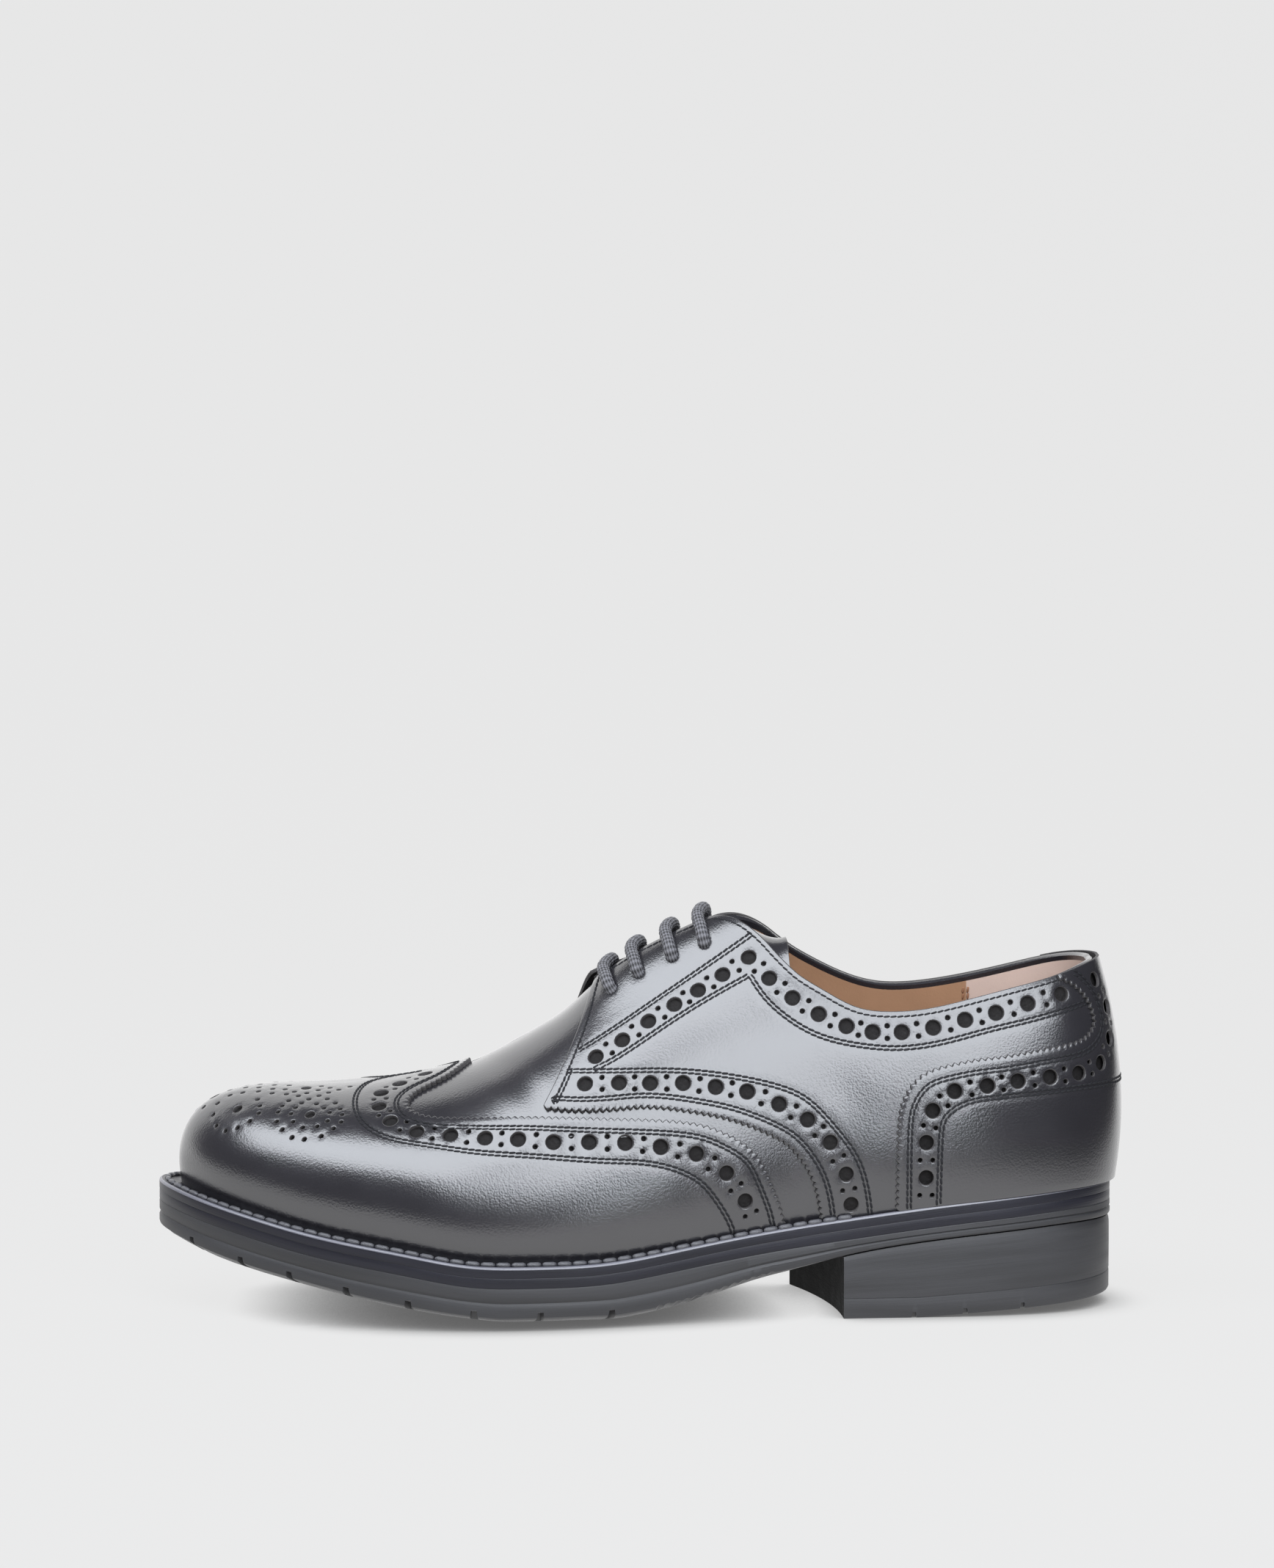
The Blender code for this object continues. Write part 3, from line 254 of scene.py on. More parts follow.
COUNTER_HOLES = [
    (77.6, 9.5), (77.6, 20.3), (75.6, 29.8), (68.8, 34.9), (58.8, 35.4), (49.4, 35.8), (39.4, 35.8),
    (30, 35.8), (21.0, 37.9), (14.6, 44.8), (12.8, 54.6), (17.2, 63.6)]
COUNTER_SEAM = [
    (73.6, FOOT_RISE), (73.0, 23.0), (71.4, 27.6), (66.4, 30.6), (59.1, 31.6), (39.4, 31.5), (17.8, 31.5),
    (0.0, 31.8)]
# Where a next large hole would be, at the feather edge: the pair of small holes before it is punched
WING_NEXT, COUNTER_NEXT = (130.5, 2.2), (77.6, -1.3)

# Toe ornament on the outer side, as run and way down from the ridge
TOE_HOLES = [(275, 30.5), (305, 31.5), (290.5, 12.5)]
TOE_DOTS = [
    (295, 31), (296, 34.5), (299, 37.5), (303, 39.5), (308, 39), (313, 36.5), (317, 33), (318, 28.5),
    (297.5, 28), (302, 25.5), (288, 29.5), (286, 33.5), (282.5, 36.5), (278, 39.5), (273.5, 40.5),
    (268, 40), (264.5, 37.5), (262.5, 35), (263, 31.5), (264.5, 28.5), (267.5, 25), (282.5, 30),
    (280, 33.5), (275.5, 36), (270.5, 36),
    (267.5, 34), (268, 30), (271, 27.5), (282.5, 27), (288.5, 26.5), (288, 23.5), (281.5, 24.5), (275, 25),
    (315, 25), (309.5, 21.5), (301, 20.5), (293.5, 19.5), (286.5, 20), (280, 22), (272, 22), (323.5, 23),
    (316.5, 19.5), (307, 17.5), (300, 16), (292, 17), (284.5, 17.5), (277, 19.5), (317, 14.5), (308, 11.5),
    (284, 9.5), (281, 14.5), (276.5, 12), (274, 17), (270.5, 14.5), (266.5, 11.5), (322.5, 37)]
# On the toe's middle line, as ways down from the ridge
MIDDLE_HOLE, MIDDLE_DOTS = 33.0, (18.5, 28.0, 39.5)

# Soft troughs (depth below zero) and ridges: run, rise, lean in degrees, half length, half width, depth
RELIEF = [
    (206, 66, 62, 20, 4.0, -0.28), (213, 60, 58, 16, 3.5, 0.16), (198, 62, 66, 18, 4.5, 0.14),
    (150, 16, 75, 16, 6.0, -0.24), (137, 22, 70, 14, 5.0, 0.22), (118, 14, 80, 16, 5.5, -0.22),
    (104, 40, 40, 22, 8.0, -0.26), (128, 58, 25, 26, 9.0, 0.20), (92, 22, 82, 18, 7.0, 0.16),
    (62, 20, 10, 24, 9.0, -0.14), (240, 22, 5, 30, 9.0, 0.12), (270, 20, 8, 24, 8.0, -0.10)]

FLOOR_SHADOW, FLOOR_GLOW = 0.03, 0.975  # how much of the floor's colour is lit, and how much is glow
# What the leather mirrors, painted as the floor's glow to all but camera rays: a table that fades to dark
# along a direction, in metres, and a bright backdrop
TABLE_CORNER, TABLE_FADE = (0.8, -0.6, 0.0), (0.18, 0.31)
TABLE_LIGHT, TABLE_DARK = 1.5, 0.05
BACKDROP_RISE, BACKDROP_LIGHT = (0.2, 0.9), 1.35
CONTACT_REACH = 0.016  # of the painted soft shadow where the sole meets the floor: occlusion darkens the floor's glow
CONTACT_SHADE = 0.15  # share of the floor's glow left at the darkest of that painted shadow
ROOM_LIGHT = (0.10, 0.10, 0.11)
FAR_COLOUR = (0.8, 0.8, 0.8)  # past the floor's end
PANEL_COLOUR = (0.90, 0.94, 1.0)
PANEL_TURN, PANEL_RISE = -25.0, 58.0  # degrees round from the front, and up
PANEL_DISTANCE, PANEL_SIZE, PANEL_AIM = 1.6, (2.9, 1.0), 0.06  # metres, the aim as a height
SWEEP_FRONT, SWEEP_BACK, SWEEP_TOP = -4.0, 2.6, 4.5  # metres
SWEEP_BEND, SWEEP_HALF_WIDTH = 1.2, 5.0

# The lit card stands upright in front of the outer side, its lower edge cut at a slant with one narrow strip
# down to the floor: X and Z in metres
CARD_Y = -0.45
CARD = [
    (-0.14, 0.385), (-0.08, 0.285), (0.0, 0.185), (0.06, 0.15), (0.11, 0.12), (0.128, 0.08), (0.137, 0.002),
    (0.163, 0.002), (0.18, 0.09), (0.21, 0.12), (0.27, 0.14), (0.40, 0.19), (0.56, 0.29), (0.56, 0.385)]

LACE_STATIONS = (157.0, 148.5, 138.2, 128.3)
# Half a bar of the lace, from the eyelet to the middle: share of the reach, lift over the upper
HALF_BAR = [(1.0, 0.2), (0.99, 1.6), (0.92, LACE_LIFT - 0.4), (0.75, LACE_LIFT), (0.45, LACE_LIFT)]
NOTCH_STATIONS = (283.0, 269.0, 254.5, 238.0, 220.0, 201.0, 181.5, 160.0)
HEEL_NOTCH_STATIONS = (65.0, 49.0, 31.0)
WAIST_TEETH = (108.0, 146.0, 1.5, 0.7)  # first and last station, pitch and depth of the serrated edge

# Edge of each layer of the sole, from its top down: share of its thickness, how far it stands out
WELT_EDGE = [(0.0, -0.75), (0.05, -0.35), (0.14, -0.08), (0.24, 0.0), (0.9, 0.0), (1.0, -0.08)]
MIDSOLE_EDGE = [(0.0, -0.12), (0.1, -0.02), (0.9, -0.02), (1.0, -0.15)]
RUBBER_EDGE = [
    (0.0, -0.15), (0.05, 0.0), (0.38, 0.0), (0.43, -0.22), (0.48, -0.4), (0.53, -0.22), (0.6, 0.05),
    (0.84, 0.05), (0.94, -0.2), (1.0, -1.0)]
STACK_EDGE = [(0.0, -0.5), (0.06, -0.16), (0.14, 0.0), (0.5, 0.03), (0.97, 0.0), (1.0, -0.12)]
PIECE_EDGE = [(0.0, -0.1), (0.1, 0.0), (0.88, 0.0), (1.0, -0.35)]
PLAIN_EDGE = [(0.0, -0.4), (0.3, 0.0), (1.0, 0.0)]

# Finishes: name of the colour; surface group and its two numbers; range of roughness; change of tone;
# strength and depth of the bump, in millimetres; constants of the shader
FINISHES = {
    "black_leather": ("leather", "leather_grain", (1500, 40), (0.2, 0.25), 0.2, 0.3, 0.1, {"IOR": 1.85}),
    "lining_leather": ("lining", "leather_grain", (1300, 60), (0.55, 0.7), 0.16, 0.3, 0.1, {}),
    "heel_lining_leather": ("heel_lining", "leather_grain", (1500, 70), (0.6, 0.75), 0.12, 0.3, 0.1, {}),
    "backing_leather": (
        "backing", "leather_grain", (900, 700), (0.6, 0.9), 0.7, 0.8, 0.3, {"Specular IOR Level": 0.18}),
    "cut_leather": ("cut_edge", "leather_grain", (2500, 600), (0.6, 0.85), 0.4, 0.5, 0.2, {}),
    "waxed_thread": (
        "thread", "leather_grain", (4000, 900), (0.6, 0.8), 0.3, 0.5, 0.1, {"Specular IOR Level": 0.25}),
    "lining_thread": ("lining_thread", "leather_grain", (4000, 900), (0.6, 0.8), 0.3, 0.5, 0.1, {}),
    "welt_thread": (
        "welt_thread", "leather_grain", (2600, 500), (0.4, 0.6), 0.35, 0.6, 0.2,
        {"Coat Weight": 0.2, "Coat Roughness": 0.3}),
    "inked_edge": (
        "sole_edge", "edge_streaks", (30, 2400), (0.34, 0.5), 0.5, 0.3, 0.2, {"Specular IOR Level": 0.3}),
    # the welt's top rim: a burnished gloss, and a colour far lighter than the inked edges as a painted
    # highlight along the top edge
    "burnished_edge": ("welt_rim", "edge_streaks", (40, 2400), (0.3, 0.45), 0.3, 0.3, 0.2, {"IOR": 1.7}),
    "sole_rubber": (
        "rubber", "edge_streaks", (22, 1500), (0.45, 0.6), 0.55, 0.35, 0.2, {"Specular IOR Level": 0.4}),
    # the heel's breast: rough as a cut face, and near black as painted shade under the arch
    "rough_breast": (
        "breast", "edge_streaks", (300, 900), (0.8, 0.95), 0.6, 0.6, 0.4, {"Specular IOR Level": 0.08}),
    "braided_lace": (
        "lace", "lace_braid", (BRAID_LAY, BRAID_YARNS), (0.55, 0.75), 0.95, 0.8, 0.4,
        {"Specular IOR Level": 0.35}),
}
TONE_RANGE = (0.3, 0.7)  # of a surface group's tone, over which the roughness runs


def length_setting(name, description, default):
    """A size that a user may change, in metres."""
    return bpy.props.FloatProperty(name=name, description=description, default=default, unit="LENGTH")


def colour_setting(name, description, default):
    """A colour that a user may change."""
    return bpy.props.FloatVectorProperty(
        name=name, description=description, default=default, subtype="COLOR")


class DerbySizes(bpy.types.PropertyGroup):
    """Sizes of the finer work on the shoe."""

    wing_thick: length_setting("Wing leather", "Thickness of the wing tip", 0.0013)
    quarter_thick: length_setting("Quarter leather", "Thickness of the quarters", 0.0012)
    counter_thick: length_setting("Counter leather", "Thickness of the heel counter", 0.001)
    hole: length_setting("Large holes", "Width of a large punched hole", 0.0046)
    dot: length_setting("Small holes", "Width of a small punched hole", 0.0016)
    toe_hole: length_setting("Toe holes", "Width of the toe ornament's larger holes", 0.003)
    tooth_pitch: length_setting("Tooth pitch", "Pitch of the toothed edges", 0.0021)
    tooth_depth: length_setting("Tooth depth", "Depth of the toothed edges", 0.0011)
    stitch: length_setting("Stitch pitch", "Pitch of the upper's stitches", 0.0021)
    welt_stitch: length_setting("Welt stitch pitch", "Pitch of the welt's stitches", 0.0047)
    lace: length_setting("Lace", "Width of the round lace", 0.0041)


class DerbyColours(bpy.types.PropertyGroup):
    """Colours of the shoe's materials."""

    leather: colour_setting("Leather", "Upper leather", (0.0145, 0.0138, 0.0165))
    lining: colour_setting("Lining", "Side lining and sock", (0.28, 0.152, 0.082))
    heel_lining: colour_setting("Heel lining", "Lining at the heel", (0.48, 0.365, 0.31))
    backing: colour_setting("Backing", "Leather seen in the holes", (0.011, 0.010, 0.010))
    cut_edge: colour_setting("Cut edge", "Cut edges of the leather", (0.035, 0.032, 0.032))
    thread: colour_setting("Thread", "Stitches of the upper", (0.010, 0.010, 0.012))
    lining_thread: colour_setting("Lining thread", "Stitches of the lining", (0.22, 0.10, 0.05))
    welt_thread: colour_setting("Welt thread", "Stitches of the welt", (0.055, 0.055, 0.062))
    sole_edge: colour_setting("Sole edge", "Inked leather edges", (0.009, 0.009, 0.014))
    # lighter than the inked edges: a painted highlight along the welt's top edge, with a real burnish
    welt_rim: colour_setting("Welt rim", "Burnished top edge of the welt", (0.10, 0.10, 0.12))
    # near black as painted shade under the arch, over the rough cut face
    breast: colour_setting("Heel breast", "Cut front face of the heel", (0.005, 0.005, 0.005))
    rubber: colour_setting("Rubber", "Outsole, heel and top piece", (0.025, 0.025, 0.027))
    lace: colour_setting("Lace", "Braided lace", (0.088, 0.087, 0.094))
    floor: colour_setting("Floor", "Floor and backdrop", (0.80, 0.80, 0.80))


class DerbyStage(bpy.types.PropertyGroup):
    """Camera and lights."""

    eye: bpy.props.FloatVectorProperty(
        name="Camera", description="Place of the camera", subtype="XYZ",
        default=(-0.04585, -1.28555, 0.2247))
    tilt: bpy.props.FloatProperty(
        name="Tilt", description="Camera's tilt up from straight down", default=1.5238, subtype="ANGLE")
    turn: bpy.props.FloatProperty(
        name="Turn", description="Camera's turn about the upright", default=-0.0349, subtype="ANGLE")
    lens: bpy.props.FloatProperty(
        name="Lens", description="Focal length in millimetres", default=93.84, unit="CAMERA")
    panel: bpy.props.FloatProperty(
        name="Panel", description="Power of the large panel over the toe", default=62.0, subtype="POWER")
    card: bpy.props.FloatProperty(
        name="Card", description="Brightness of the lit card in front of the quarter", default=6.8)


def natural_spline(xs, ys):
    """Natural cubic spline through the points, as a function."""
    xs, ys = np.asarray(xs, float), np.asarray(ys, float)
    n, h = len(xs), np.diff(xs)
    system, load = np.eye(n), np.zeros(n)
    for i in range(1, n - 1):
        system[i, i - 1:i + 2] = h[i - 1], 2 * (h[i - 1] + h[i]), h[i]
        load[i] = 6 * ((ys[i + 1] - ys[i]) / h[i] - (ys[i] - ys[i - 1]) / h[i - 1])
    bend = np.linalg.solve(system, load)

    def value(x):
        x = np.asarray(x, float)
        i = np.clip(np.searchsorted(xs, x) - 1, 0, n - 2)
        a, b, d = xs[i + 1] - x, x - xs[i], h[i]
        curved = (bend[i] * a ** 3 + bend[i + 1] * b ** 3) / (6 * d)
        return curved + (ys[i] / d - bend[i] * d / 6) * a + (ys[i + 1] / d - bend[i + 1] * d / 6) * b
    return value


def closed_spline(ts, rows, period):
    """Periodic cubic spline through rows of columns, as a function."""
    n = len(ts)
    h = np.diff(np.append(ts, ts[0] + period))
    system, load = np.zeros((n, n)), np.zeros(rows.shape)
    for i in range(n):
        before, after = (i - 1) % n, (i + 1) % n
        system[i, before] += h[before]
        system[i, i] += 2 * (h[before] + h[i])
        system[i, after] += h[i]
        load[i] = 6 * ((rows[after] - rows[i]) / h[i] - (rows[i] - rows[before]) / h[before])
    bend = np.linalg.solve(system, load)

    def value(t):
        t = np.mod(np.asarray(t, float), period)
        i = np.clip(np.searchsorted(ts, t, side="right") - 1, 0, n - 1)
        after = (i + 1) % n
        d, b = h[i][..., None], (t - ts[i])[..., None]
        a = d - b
        curved = (bend[i] * a ** 3 + bend[after] * b ** 3) / (6 * d)
        return curved + (rows[i] / d - bend[i] * d / 6) * a + (rows[after] / d - bend[after] * d / 6) * b
    return value


def column_spline(table, column):
    return natural_spline([row[0] for row in table], [row[column] for row in table])


def rib_loop():
    """The rib columns as one closed loop: outer side from heel to toe, then inner side back."""
    rib = dict(zip(RIB_COLUMNS, np.array(RIBS).T))
    both = ("hub", "flare", "flare_z", "swell_z", "shoulder", "shoulder_z", "crown")
    shared = [rib[name] for name in both]
    outer = np.column_stack([rib["station"], -rib["lateral"], rib["swell_lateral"]] + shared)
    inner = np.column_stack([rib["station"], rib["medial"], rib["swell_medial"]] + shared)
    steps = 0.5 * sum(np.hypot(*np.diff(side[:, :2], axis=0).T) for side in (outer, inner))
    runs = np.concatenate([[0.0], np.cumsum(steps)])
    half = runs[-1]
    loop_runs = np.concatenate([runs, 2 * half - runs[-2:0:-1]])
    return closed_spline(loop_runs, np.vstack([outer, inner[-2:0:-1]]), 2 * half), half


ridge_y, ridge_z = column_spline(RIDGE, 1), column_spline(RIDGE, 2)
bed_z = column_spline(BED, 1)
topline_outer, topline_inner = column_spline(TOPLINE, 1), column_spline(TOPLINE, 2)
extension_outer, extension_inner = column_spline(EXTENSION, 1), column_spline(EXTENSION, 2)
underside_z, underside_lift = column_spline(UNDERSIDE, 1), column_spline(UNDERSIDE, 2)
rib_at, HALF_RUN = rib_loop()
FULL_RUN = 2 * HALF_RUN
OUTER_RUNS = np.linspace(0.0, HALF_RUN, 1200)
RUN_NUDGE, LEVEL_NUDGE = 0.05, 0.001  # steps for slopes of the last


def station_of(run):
    """Station of a rib's foot."""
    return rib_at(run)[..., 0]


def hub_of(run):
    """Station of a rib's top on the ridge."""
    return rib_at(run)[..., 3]


def last_point(run, level):
    """Point of the last at a run round the feather edge and a level, 0 there and 1 on the ridge."""
    run, level = np.broadcast_arrays(np.asarray(run, float), np.asarray(level, float))
    columns = np.moveaxis(rib_at(run), -1, 0)
    station, y, swell, hub, flare, flare_z, swell_z, shoulder, shoulder_z, crown = columns
    hub_y, foot, top = ridge_y(hub), bed_z(station), ridge_z(hub)
    reach = np.hypot(station - hub, y - hub_y)
    along, across = (station - hub) / reach, (y - hub_y) / reach
    out = (reach, reach + flare, reach + swell, reach * shoulder, reach * crown, 0 * reach)
    up = (foot, foot + flare_z, foot + swell_z, foot + shoulder_z * (top - foot), top, top)
    v, u = level, 1 - level
    weights = (u ** 5, 5 * v * u ** 4, 10 * v ** 2 * u ** 3, 10 * v ** 3 * u ** 2, 5 * v ** 4 * u, v ** 5)
    r = sum(w * p for w, p in zip(weights, out))
    z = sum(w * p for w, p in zip(weights, up))
    return np.stack([HEEL_X - hub - along * r, AXIS_Y + hub_y + across * r, z], -1)


def unit(vectors):
    return vectors / np.maximum(np.linalg.norm(vectors, axis=-1, keepdims=True), 1e-12)


def fade(value, start, end):
    """Soft step from 0 at the start to 1 at the end."""
    share = np.clip((value - start) / (end - start), 0.0, 1.0)
    return share * share * (3 - 2 * share)


def ways(points):
    """Way along a polyline to each of its points."""
    return np.concatenate([[0.0], np.cumsum(np.linalg.norm(np.diff(points, axis=0), axis=1))])


def at_marks(marks, way, rows):
    """Rows given at ways, between them at marks."""
    return np.column_stack([np.interp(marks, way, column) for column in rows.T])


def search_tree(points):
    """Search tree over points, flat ones at a height of 0."""
    tree = KDTree(len(points))
    for i, point in enumerate(points):
        tree.insert((*point, 0.0)[:3], i)
    tree.balance()
    return tree


def normal_of(surface, run, level):
    """Unit normal, pointing out, of a surface given by run and level."""
    level = np.clip(level, 1.5 * LEVEL_NUDGE, 1 - 1.5 * LEVEL_NUDGE)
    along = surface(run + RUN_NUDGE, level) - surface(run - RUN_NUDGE, level)
    up = surface(run, level + LEVEL_NUDGE) - surface(run, level - LEVEL_NUDGE)
    return unit(np.cross(up, along))


# Ways up the ribs, sampled once: rise of each level, and level of each share of the whole way
RUNS = np.linspace(0.0, FULL_RUN, 657)
LEVELS = np.linspace(0.0, 1.0, 101)
SAMPLES = last_point(RUNS[:, None], LEVELS)
STEPS_UP = np.linalg.norm(np.diff(SAMPLES, axis=1), axis=-1)
RISES = np.concatenate([np.zeros((len(RUNS), 1)), np.cumsum(STEPS_UP, axis=1)], axis=1)
SHARE_LEVELS = np.array([np.interp(LEVELS, rises / rises[-1], LEVELS) for rises in RISES])


def on_grid(table, run, share):
    """Values of a table of runs and shares, between its rows and columns."""
    u = np.mod(run, FULL_RUN) / FULL_RUN * (len(RUNS) - 1)
    v = np.clip(share, 0.0, 1.0) * (table.shape[1] - 1)
    i = np.clip(u.astype(int), 0, len(RUNS) - 2)
    j = np.clip(v.astype(int), 0, table.shape[1] - 2)
    a, b = u - i, v - j
    low = (1 - a) * table[i, j] + a * table[i + 1, j]
    high = (1 - a) * table[i, j + 1] + a * table[i + 1, j + 1]
    return (1 - b) * low + b * high


def whole_way(run):
    """Way from the feather edge up to the ridge."""
    return np.interp(np.mod(run, FULL_RUN), RUNS, RISES[:, -1])


def level_at(run, rise):
    run, rise = np.asarray(run, float), np.asarray(rise, float)
    return on_grid(SHARE_LEVELS, run, rise / whole_way(run))


def rise_at(run, level):
    return on_grid(RISES, np.asarray(run, float), np.asarray(level, float))


def relief(run, level):
    """Height of the soft creases, the same on both sides."""
    rise = rise_at(run, level)
    run = np.mod(run, FULL_RUN)
    run = np.minimum(run, FULL_RUN - run)
    height = np.zeros(run.shape)
    for crease_run, crease_rise, lean, half_length, half_width, depth in RELIEF:
        c, s = np.cos(np.radians(lean)), np.sin(np.radians(lean))
        u, v = run - crease_run, rise - crease_rise
        height += depth * np.exp(-((u * c + v * s) / half_length) ** 2 - ((v * c - u * s) / half_width) ** 2)
    return height + facing_lift(run, rise)


def facing_lift(run, rise):
    """How far the stiff facings stand up over the last towards the throat."""
    hub, way = hub_of(run), whole_way(run) - rise
    first, full, fading, last = FACING_HUBS
    return FACING_LIFT * fade(way, *FACING_WAYS[::-1]) * fade(hub, first, full) * fade(hub, last, fading)


def front_lift(rows):
    """How far the inner facing's front corner stands up off the vamp, for rows of run and rise."""
    hub, way = hub_of(rows[:, 0]), whole_way(rows[:, 0]) - rows[:, 1]
    return FRONT_LIFT * fade(way, *FRONT_WAYS[::-1]) * fade(hub, *FRONT_HUBS)


def hide(run, level):
    """The face of the last with the leather's creases."""
    run, level = np.broadcast_arrays(np.asarray(run, float), np.asarray(level, float))
    return last_point(run, level) + normal_of(last_point, run, level) * relief(run, level)[..., None]


def leather(run, level, offset):
    """Points at an offset out from the creased leather face, and their normals."""
    normals = normal_of(hide, run, level)
    return hide(run, level) + normals * np.asarray(offset, float)[..., None], normals


def topline_level(run):
    """Level where each rib meets the top edge of the quarters, 1 where it doesn't."""
    points = last_point(run[:, None], LEVELS)
    station = HEEL_X - points[..., 0]
    edge = np.where((run < HALF_RUN)[:, None], topline_outer(station), topline_inner(station))
    over = np.where(station < TOPLINE[-1][0], points[..., 2] - edge, -1.0)
    levels = np.ones(len(run))
    for i, row in enumerate(over):
        above = np.nonzero(row > 0)[0]
        if len(above) and above[0] > 0:
            j = above[0]
            levels[i] = np.interp(0.0, row[j - 1:j + 1], LEVELS[j - 1:j + 1])
    return levels


def open_rises():
    """Rise where the leather ends at collar and throat, for each of the runs, its corners rounded."""
    hub, whole = hub_of(RUNS), RISES[:, -1]
    nose = np.clip((hub - THROAT_FRONT + THROAT_ROUND) / THROAT_ROUND, 0.0, 1.0)
    throat = np.where(hub < THROAT_FRONT, whole - HALF_THROAT * np.sqrt(1.0 - nose ** 2), whole)
    collar = rise_at(RUNS, topline_level(RUNS))
    rises = np.minimum(collar, throat)
    reach = int(CORNER_ROUND)
    even = np.ones(2 * reach + 1) / (2 * reach + 1)
    soft = np.convolve(np.pad(rises, reach, mode="wrap"), even, mode="valid")
    for k in np.nonzero(np.diff((collar < throat).astype(int)))[0]:
        share = np.clip(2.0 - np.abs(RUNS - RUNS[k]) / reach, 0.0, 1.0)
        rises = rises + (soft - rises) * share
    return rises


OPEN_RISES = open_rises()


def open_level(run):
    """Level where the leather ends at the collar and the throat."""
    return level_at(run, np.interp(np.mod(run, FULL_RUN), RUNS, OPEN_RISES))


def top_rise(run):
    """Rise of the top of the leather."""
    return rise_at(run, open_level(run))


def level_row(runs, rise):
    """Rows of runs at one rise."""
    return np.column_stack([runs, np.full(len(runs), rise)])


def run_at(station, inner=False):
    """Run of a station on the outer or inner feather edge."""
    runs = FULL_RUN - OUTER_RUNS if inner else OUTER_RUNS
    return float(np.interp(station, station_of(runs), runs))


def run_of_hub(hub):
    """Run on the outer side of the rib that ends at a hub."""
    return np.interp(hub, hub_of(OUTER_RUNS), OUTER_RUNS)


SAMPLE_TREE = search_tree(SAMPLES.reshape(-1, 3))


def press(points):
    """Run and rise of the places on the last nearest to points."""
    found = np.array([SAMPLE_TREE.find(p)[1] for p in points])
    run, level = RUNS[found // len(LEVELS)], LEVELS[found % len(LEVELS)]
    for _ in range(3):
        base = np.clip(level, LEVEL_NUDGE, 1 - LEVEL_NUDGE)
        e = (last_point(run + 2 * RUN_NUDGE, base) - last_point(run - 2 * RUN_NUDGE, base)) / (4 * RUN_NUDGE)
        f = (last_point(run, base + LEVEL_NUDGE) - last_point(run, base - LEVEL_NUDGE)) / (2 * LEVEL_NUDGE)
        miss = points - last_point(run, level)
        ee, ef, ff = (e * e).sum(-1), (e * f).sum(-1), (f * f).sum(-1)
        me, mf = (miss * e).sum(-1), (miss * f).sum(-1)
        det = np.maximum(ee * ff - ef * ef, 1e-9)
        run = run + np.clip((me * ff - mf * ef) / det, -2.0, 2.0)
        level = np.clip(level + (mf * ee - me * ef) / det, 0.0, 1.0)
    return np.column_stack([run, rise_at(run, level)])


def spaced(first, last, step):
    """Evenly spaced values from the first up to the last."""
    return np.linspace(first, last, 1 + max(1, int(round(abs(last - first) / step))))


def resampled(points, step):
    """A polyline with points evenly spaced along it."""
    way = ways(points)
    return at_marks(spaced(0.0, way[-1], step), way, points)


def drawn(rows):
    """A smooth line through rows of run and rise, as close rows."""
    rows = np.array([(run, np.nan if rise is None else rise) for run, rise in rows], float)
    top = np.isnan(rows[:, 1])
    rows[top, 1] = top_rise(rows[top, 0])
    if len(rows) < 3:
        return resampled(rows, LINE_STEP)
    chord = np.concatenate([[0.0], np.cumsum(np.sqrt(np.linalg.norm(np.diff(rows, axis=0), axis=1)))])
    marks = np.linspace(0.0, chord[-1], 40 * len(rows))
    curve = np.column_stack([natural_spline(chord, rows[:, k])(marks) for k in (0, 1)])
    return resampled(curve, LINE_STEP)


def in_space(line):
    """Points, directions, normals and right-hand sides along a line of run and rise."""
    level = level_at(*line.T)
    points = last_point(line[:, 0], level)
    normals = normal_of(last_point, line[:, 0], level)
    ahead = unit(np.gradient(points, axis=0))
    return points, ahead, normals, unit(np.cross(ahead, normals))


def pressed_beside(points, runs):
    """Points pressed on the last, without those that cross the ridge from where their runs are."""
    moved = press(points)
    moved[:, 0] -= FULL_RUN * np.round((moved[:, 0] - runs) / FULL_RUN)
    return moved[np.abs(moved[:, 0] - runs) < SAME_SIDE]


def aside(line, width):
    """The line moved to its right by a width."""
    points, _, _, right = in_space(line)
    return pressed_beside(points + right * width, line[:, 0])


def trimmed(line):
    """The part of a line that lies on the leather."""
    return line[(line[:, 1] >= FOOT_RISE) & (line[:, 1] <= top_rise(line[:, 0]) - TRIM)]


def toothed(line, pitch, depth, side=1):
    """A pinked edge along a line, its teeth standing out to the right (or the left with side -1)."""
    points, _, _, right = in_space(line)
    way = ways(points)
    marks = np.linspace(0.0, way[-1], 1 + len(TOOTH) * max(1, int(round(way[-1] / pitch))))
    out = side * depth * np.resize(TOOTH, len(marks))
    place, across = (at_marks(marks, way, rows) for rows in (points, right))
    return pressed_beside(place + across * out[:, None], np.interp(marks, way, line[:, 0]))


def ring(centre, radius, count):
    """Points of a circle about a place of run and rise."""
    line = np.array([centre, (centre[0] + 0.2, centre[1])])
    points, ahead, _, right = in_space(line)
    angles = np.linspace(0.0, 2 * np.pi, count, endpoint=False)[:, None]
    circle = points[0] + radius * (np.cos(angles) * ahead[0] - np.sin(angles) * right[0])
    return pressed_beside(circle, np.full(count, centre[0]))


def hole_bevel(width):
    """Rounding of a hole's rim, less for a small hole."""
    return min(BEVEL, HOLE_ROUNDING * width)


def hole(centre, width):
    """Outline of a punched hole with the rounding of its rim."""
    return ring(centre, width / 2 + hole_bevel(width), LARGE_SIDES if width > LARGE_HOLE else SMALL_SIDES)


